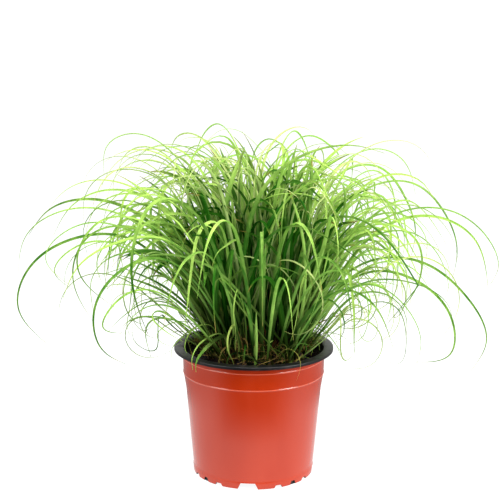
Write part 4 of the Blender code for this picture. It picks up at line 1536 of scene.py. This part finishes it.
    def root_mat(self) -> None:
        """Makes the low cushion of old bases and roots that the shoots stand in."""
        size = self.size
        bm = bmesh.new()
        rng = Random(size.shoot_seed)
        waves = [(rng.uniform(250, 1100), rng.uniform(0, 2 * pi), rng.uniform(0, 2 * pi)) for _ in range(20)]
        profile = [(size.crown_radius * (1 - i / 22), i) for i in range(22)]
        loops = [self.mat_loop(bm, size.crown_radius, waves, size.soil_top + size.gap, 0)]
        loops += [self.mat_loop(bm, radius, waves, size.crown_height(radius), 0.5 * MM) for radius, _ in profile]
        turns = len(loops[0])
        centre = bm.verts.new((size.centre_x, 0, size.crown_height(0)))
        for turn in range(turns):
            after = (turn + 1) % turns
            bm.faces.new((centre, loops[-1][turn], loops[-1][after]))
            for first, second in zip(loops, loops[1:]):
                bm.faces.new((first[turn], second[turn], second[after], first[after]))
        bm.faces.new(loops[0])
        bmesh.ops.recalc_face_normals(bm, faces=bm.faces)
        mesh = bpy.data.meshes.new("root_mat")
        bm.to_mesh(mesh)
        bm.free()
        mesh.shade_smooth()
        mesh.materials.append(PottingSoil("root_mat", dark=paint(9, 6, 5), brown=paint(46, 25, 16)).material())
        mat = bpy.data.objects.new("root_mat", mesh)
        bpy.context.scene.collection.objects.link(mat)
        dress(mat, Slot.CROWN, "crown")

    def mat_loop(
        self, bm: bmesh.types.BMesh, radius: float, waves: list[Triple], height: float, rough: float
    ) -> list[bmesh.types.BMVert]:
        """One ring of the root mat, lifted and lowered by a sum of waves.

        Args:
            bm: The mesh to add it to.
            radius: Its radius.
            waves: Wave number, direction and phase of each wave.
            height: Its mean height.
            rough: How strongly the waves lift it.

        Returns:
            The ring's points.
        """
        loop = []
        for turn in range(96):
            angle = 2 * pi * turn / 96
            x, y = radius * cos(angle), radius * sin(angle)
            lift = sum(sin(k * (x * cos(a) + y * sin(a)) + phase) for k, a, phase in waves) * rough
            loop.append(bm.verts.new((self.size.centre_x + x, y, height + lift)))
        return loop

    def build(self) -> None:
        """Grows every leaf."""
        counts: dict[Side, int] = {}
        for leaf in LEAVES:
            counts[leaf.side] = counts.get(leaf.side, 0) + 1
            self.main_leaf(leaf, f"leaf_{leaf.side.value}_{counts[leaf.side]:02d}")
        crown = self.sweep.grow("crown_leaves", self.crown_blades(), self.finishes[Tissue.GREEN])
        dress(crown, Slot.CROWN, "crown")
        self.root_mat()
        for tuft in TUFTS:
            self.tuft(tuft)
        self.loose_leaves()
        self.top_blades()


@dataclass(frozen=True)
class Lamp:
    """A soft area light: where it stands, what it looks at, its size, power and colour."""

    name: str
    place: Triple
    aim: Triple
    size: float
    watts: float
    colour: Triple = (1, 1, 1)


@dataclass(frozen=True)
class Studio:
    """Camera, floor, lights and surroundings: white all round, dark only behind the camera."""

    lens: float = 85.35
    camera_place: Triple = (-3.1 * MM, -864 * MM, 343 * MM)
    pitch: float = radians(11.3)
    roll: float = radians(0.24)
    lamps: tuple[Lamp, ...] = (
        Lamp("overhead", (0, -0.4, 1.3), (0, 0, 0.1), 0.9, 27),
        Lamp("left", (-1.1, -0.7, 0.6), (0, 0, 0.12), 0.8, 11),
        Lamp("right", (1.1, -0.7, 0.6), (0, 0, 0.12), 0.8, 25),
    )
    surround: Range = (0.6, 3.4)
    backlight: Range = (0.35, 0.95)
    mirrored: float = 1.0
    floor_light: Range = (2.4, 1.0)
    floor_bounce: Range = (0.06, 0.25)
    floor_glow: float = 1.0
    floor_near: Range = (0.1, 0.16)
    floor_far: Range = (0.14, 0.19)
    floor_front: Range = (-1, -0.3)
    white: float = 1.1
    shadow_share: float = 0.15

    @staticmethod
    def either(
        graph: NodeGraph, chosen: bpy.types.NodeSocket, plain: object, other: bpy.types.NodeSocket
    ) -> bpy.types.NodeSocket:
        """The plain strength, or the other one where the chosen kind of ray arrives."""
        extra = graph.math("SUBTRACT", other, plain)
        return graph.math("MULTIPLY_ADD", chosen, extra, plain)

    def camera(self) -> None:
        """Sets the camera where the picture was taken from."""
        data = bpy.data.cameras.new("camera")
        data.lens = self.lens
        camera = bpy.data.objects.new("camera", data)
        bpy.context.scene.collection.objects.link(camera)
        turn = Matrix.Rotation(pi / 2 - self.pitch, 4, "X") @ Matrix.Rotation(self.roll, 4, "Z")
        camera.matrix_world = Matrix.Translation(self.camera_place) @ turn
        bpy.context.scene.camera = camera

    def floor(self) -> None:
        """Lays a wide white floor with a faint shadow, whose light fades towards the dark front."""
        bm = bmesh.new()
        bmesh.ops.create_grid(bm, x_segments=1, y_segments=1, size=30)
        mesh = bpy.data.meshes.new("studio_floor")
        bm.to_mesh(mesh)
        bm.free()
        material = bpy.data.materials.new("studio_white")
        graph = NodeGraph(material)
        reach = graph.reach()
        near = graph.between(reach, *self.floor_near, 1, 0)
        sideways = graph.between(graph.math("DIVIDE", graph.apart()["Y"], reach), *self.floor_front)
        far = graph.math("MULTIPLY", sideways, graph.between(reach, *self.floor_far, 1, 0.42))
        glow = graph.math("MULTIPLY_ADD", far, graph.math("SUBTRACT", 1, near), near)
        glow = graph.math("MULTIPLY", glow, self.floor_glow)
        light = graph.add("ShaderNodeEmission")
        rays = graph.add("ShaderNodeLightPath").outputs
        bounce = graph.between(reach, *self.floor_bounce, *self.floor_light)
        graph.feed(light.inputs["Strength"], self.either(graph, rays["Is Glossy Ray"], bounce, glow))
        paper = graph.add("ShaderNodeBsdfDiffuse")
        paper.inputs["Color"].default_value = (1, 1, 1, 1)
        white = graph.add("ShaderNodeEmission")
        white.inputs["Strength"].default_value = self.white
        seen = graph.add("ShaderNodeMixShader")
        seen.inputs[0].default_value = self.shadow_share
        graph.feed(seen.inputs[1], white.outputs[0])
        graph.feed(seen.inputs[2], paper.outputs[0])
        both = graph.add("ShaderNodeMixShader")
        graph.feed(both.inputs[0], rays["Is Camera Ray"])
        graph.feed(both.inputs[1], light.outputs[0])
        graph.feed(both.inputs[2], seen.outputs[0])
        graph.surface(both.outputs[0])
        mesh.materials.append(material)
        floor = bpy.data.objects.new("studio_floor", mesh)
        bpy.context.scene.collection.objects.link(floor)

    def lights(self) -> None:
        """Places the soft lamps."""
        for lamp in self.lamps:
            data = bpy.data.lights.new(lamp.name, "AREA")
            data.shape = "DISK"
            data.size = lamp.size
            data.energy = lamp.watts
            data.color = lamp.colour
            light = bpy.data.objects.new(lamp.name, data)
            bpy.context.scene.collection.objects.link(light)
            ray = Vector(lamp.aim) - Vector(lamp.place)
            light.matrix_world = Matrix.Translation(lamp.place) @ ray.to_track_quat("-Z", "Y").to_matrix().to_4x4()

    def surroundings(self) -> None:
        """White as the camera sees it, and for everything else darker the nearer to the front."""
        world = bpy.data.worlds.new("white_tent")
        bpy.context.scene.world = world
        graph = NodeGraph(world)
        split = graph.add("ShaderNodeSeparateXYZ")
        graph.feed(split.inputs[0], graph.add("ShaderNodeTexCoord").outputs["Generated"])
        behind = graph.math("MINIMUM", graph.math("ADD", split.outputs["Y"], 1.0), 1.0)
        behind = graph.math("MULTIPLY", behind, self.mirrored)
        rays = graph.add("ShaderNodeLightPath").outputs
        light = graph.between(split.outputs["Y"], *self.backlight, *self.surround)
        strength = self.either(graph, rays["Is Glossy Ray"], light, behind)
        strength = graph.math("MAXIMUM", strength, graph.math("MULTIPLY", rays["Is Camera Ray"], self.white))
        background = graph.add("ShaderNodeBackground")
        graph.feed(background.inputs["Strength"], strength)
        background.inputs["Color"].default_value = (1, 1, 1, 1)
        graph.surface(background.outputs[0], "World")
        bpy.context.scene.view_settings.view_transform = "Standard"

    def build(self) -> None:
        """Makes the whole studio."""
        self.camera()
        self.floor()
        self.lights()
        self.surroundings()


def main() -> None:
    """Builds the studio and every piece of the object."""
    logging.basicConfig(level=logging.INFO, format="%(name)s: %(message)s")
    Studio().build()
    NurseryPot(POT).build()
    SoilBed().build()
    Clump(CLUMP).build()


if __name__ == "__main__":
    main()
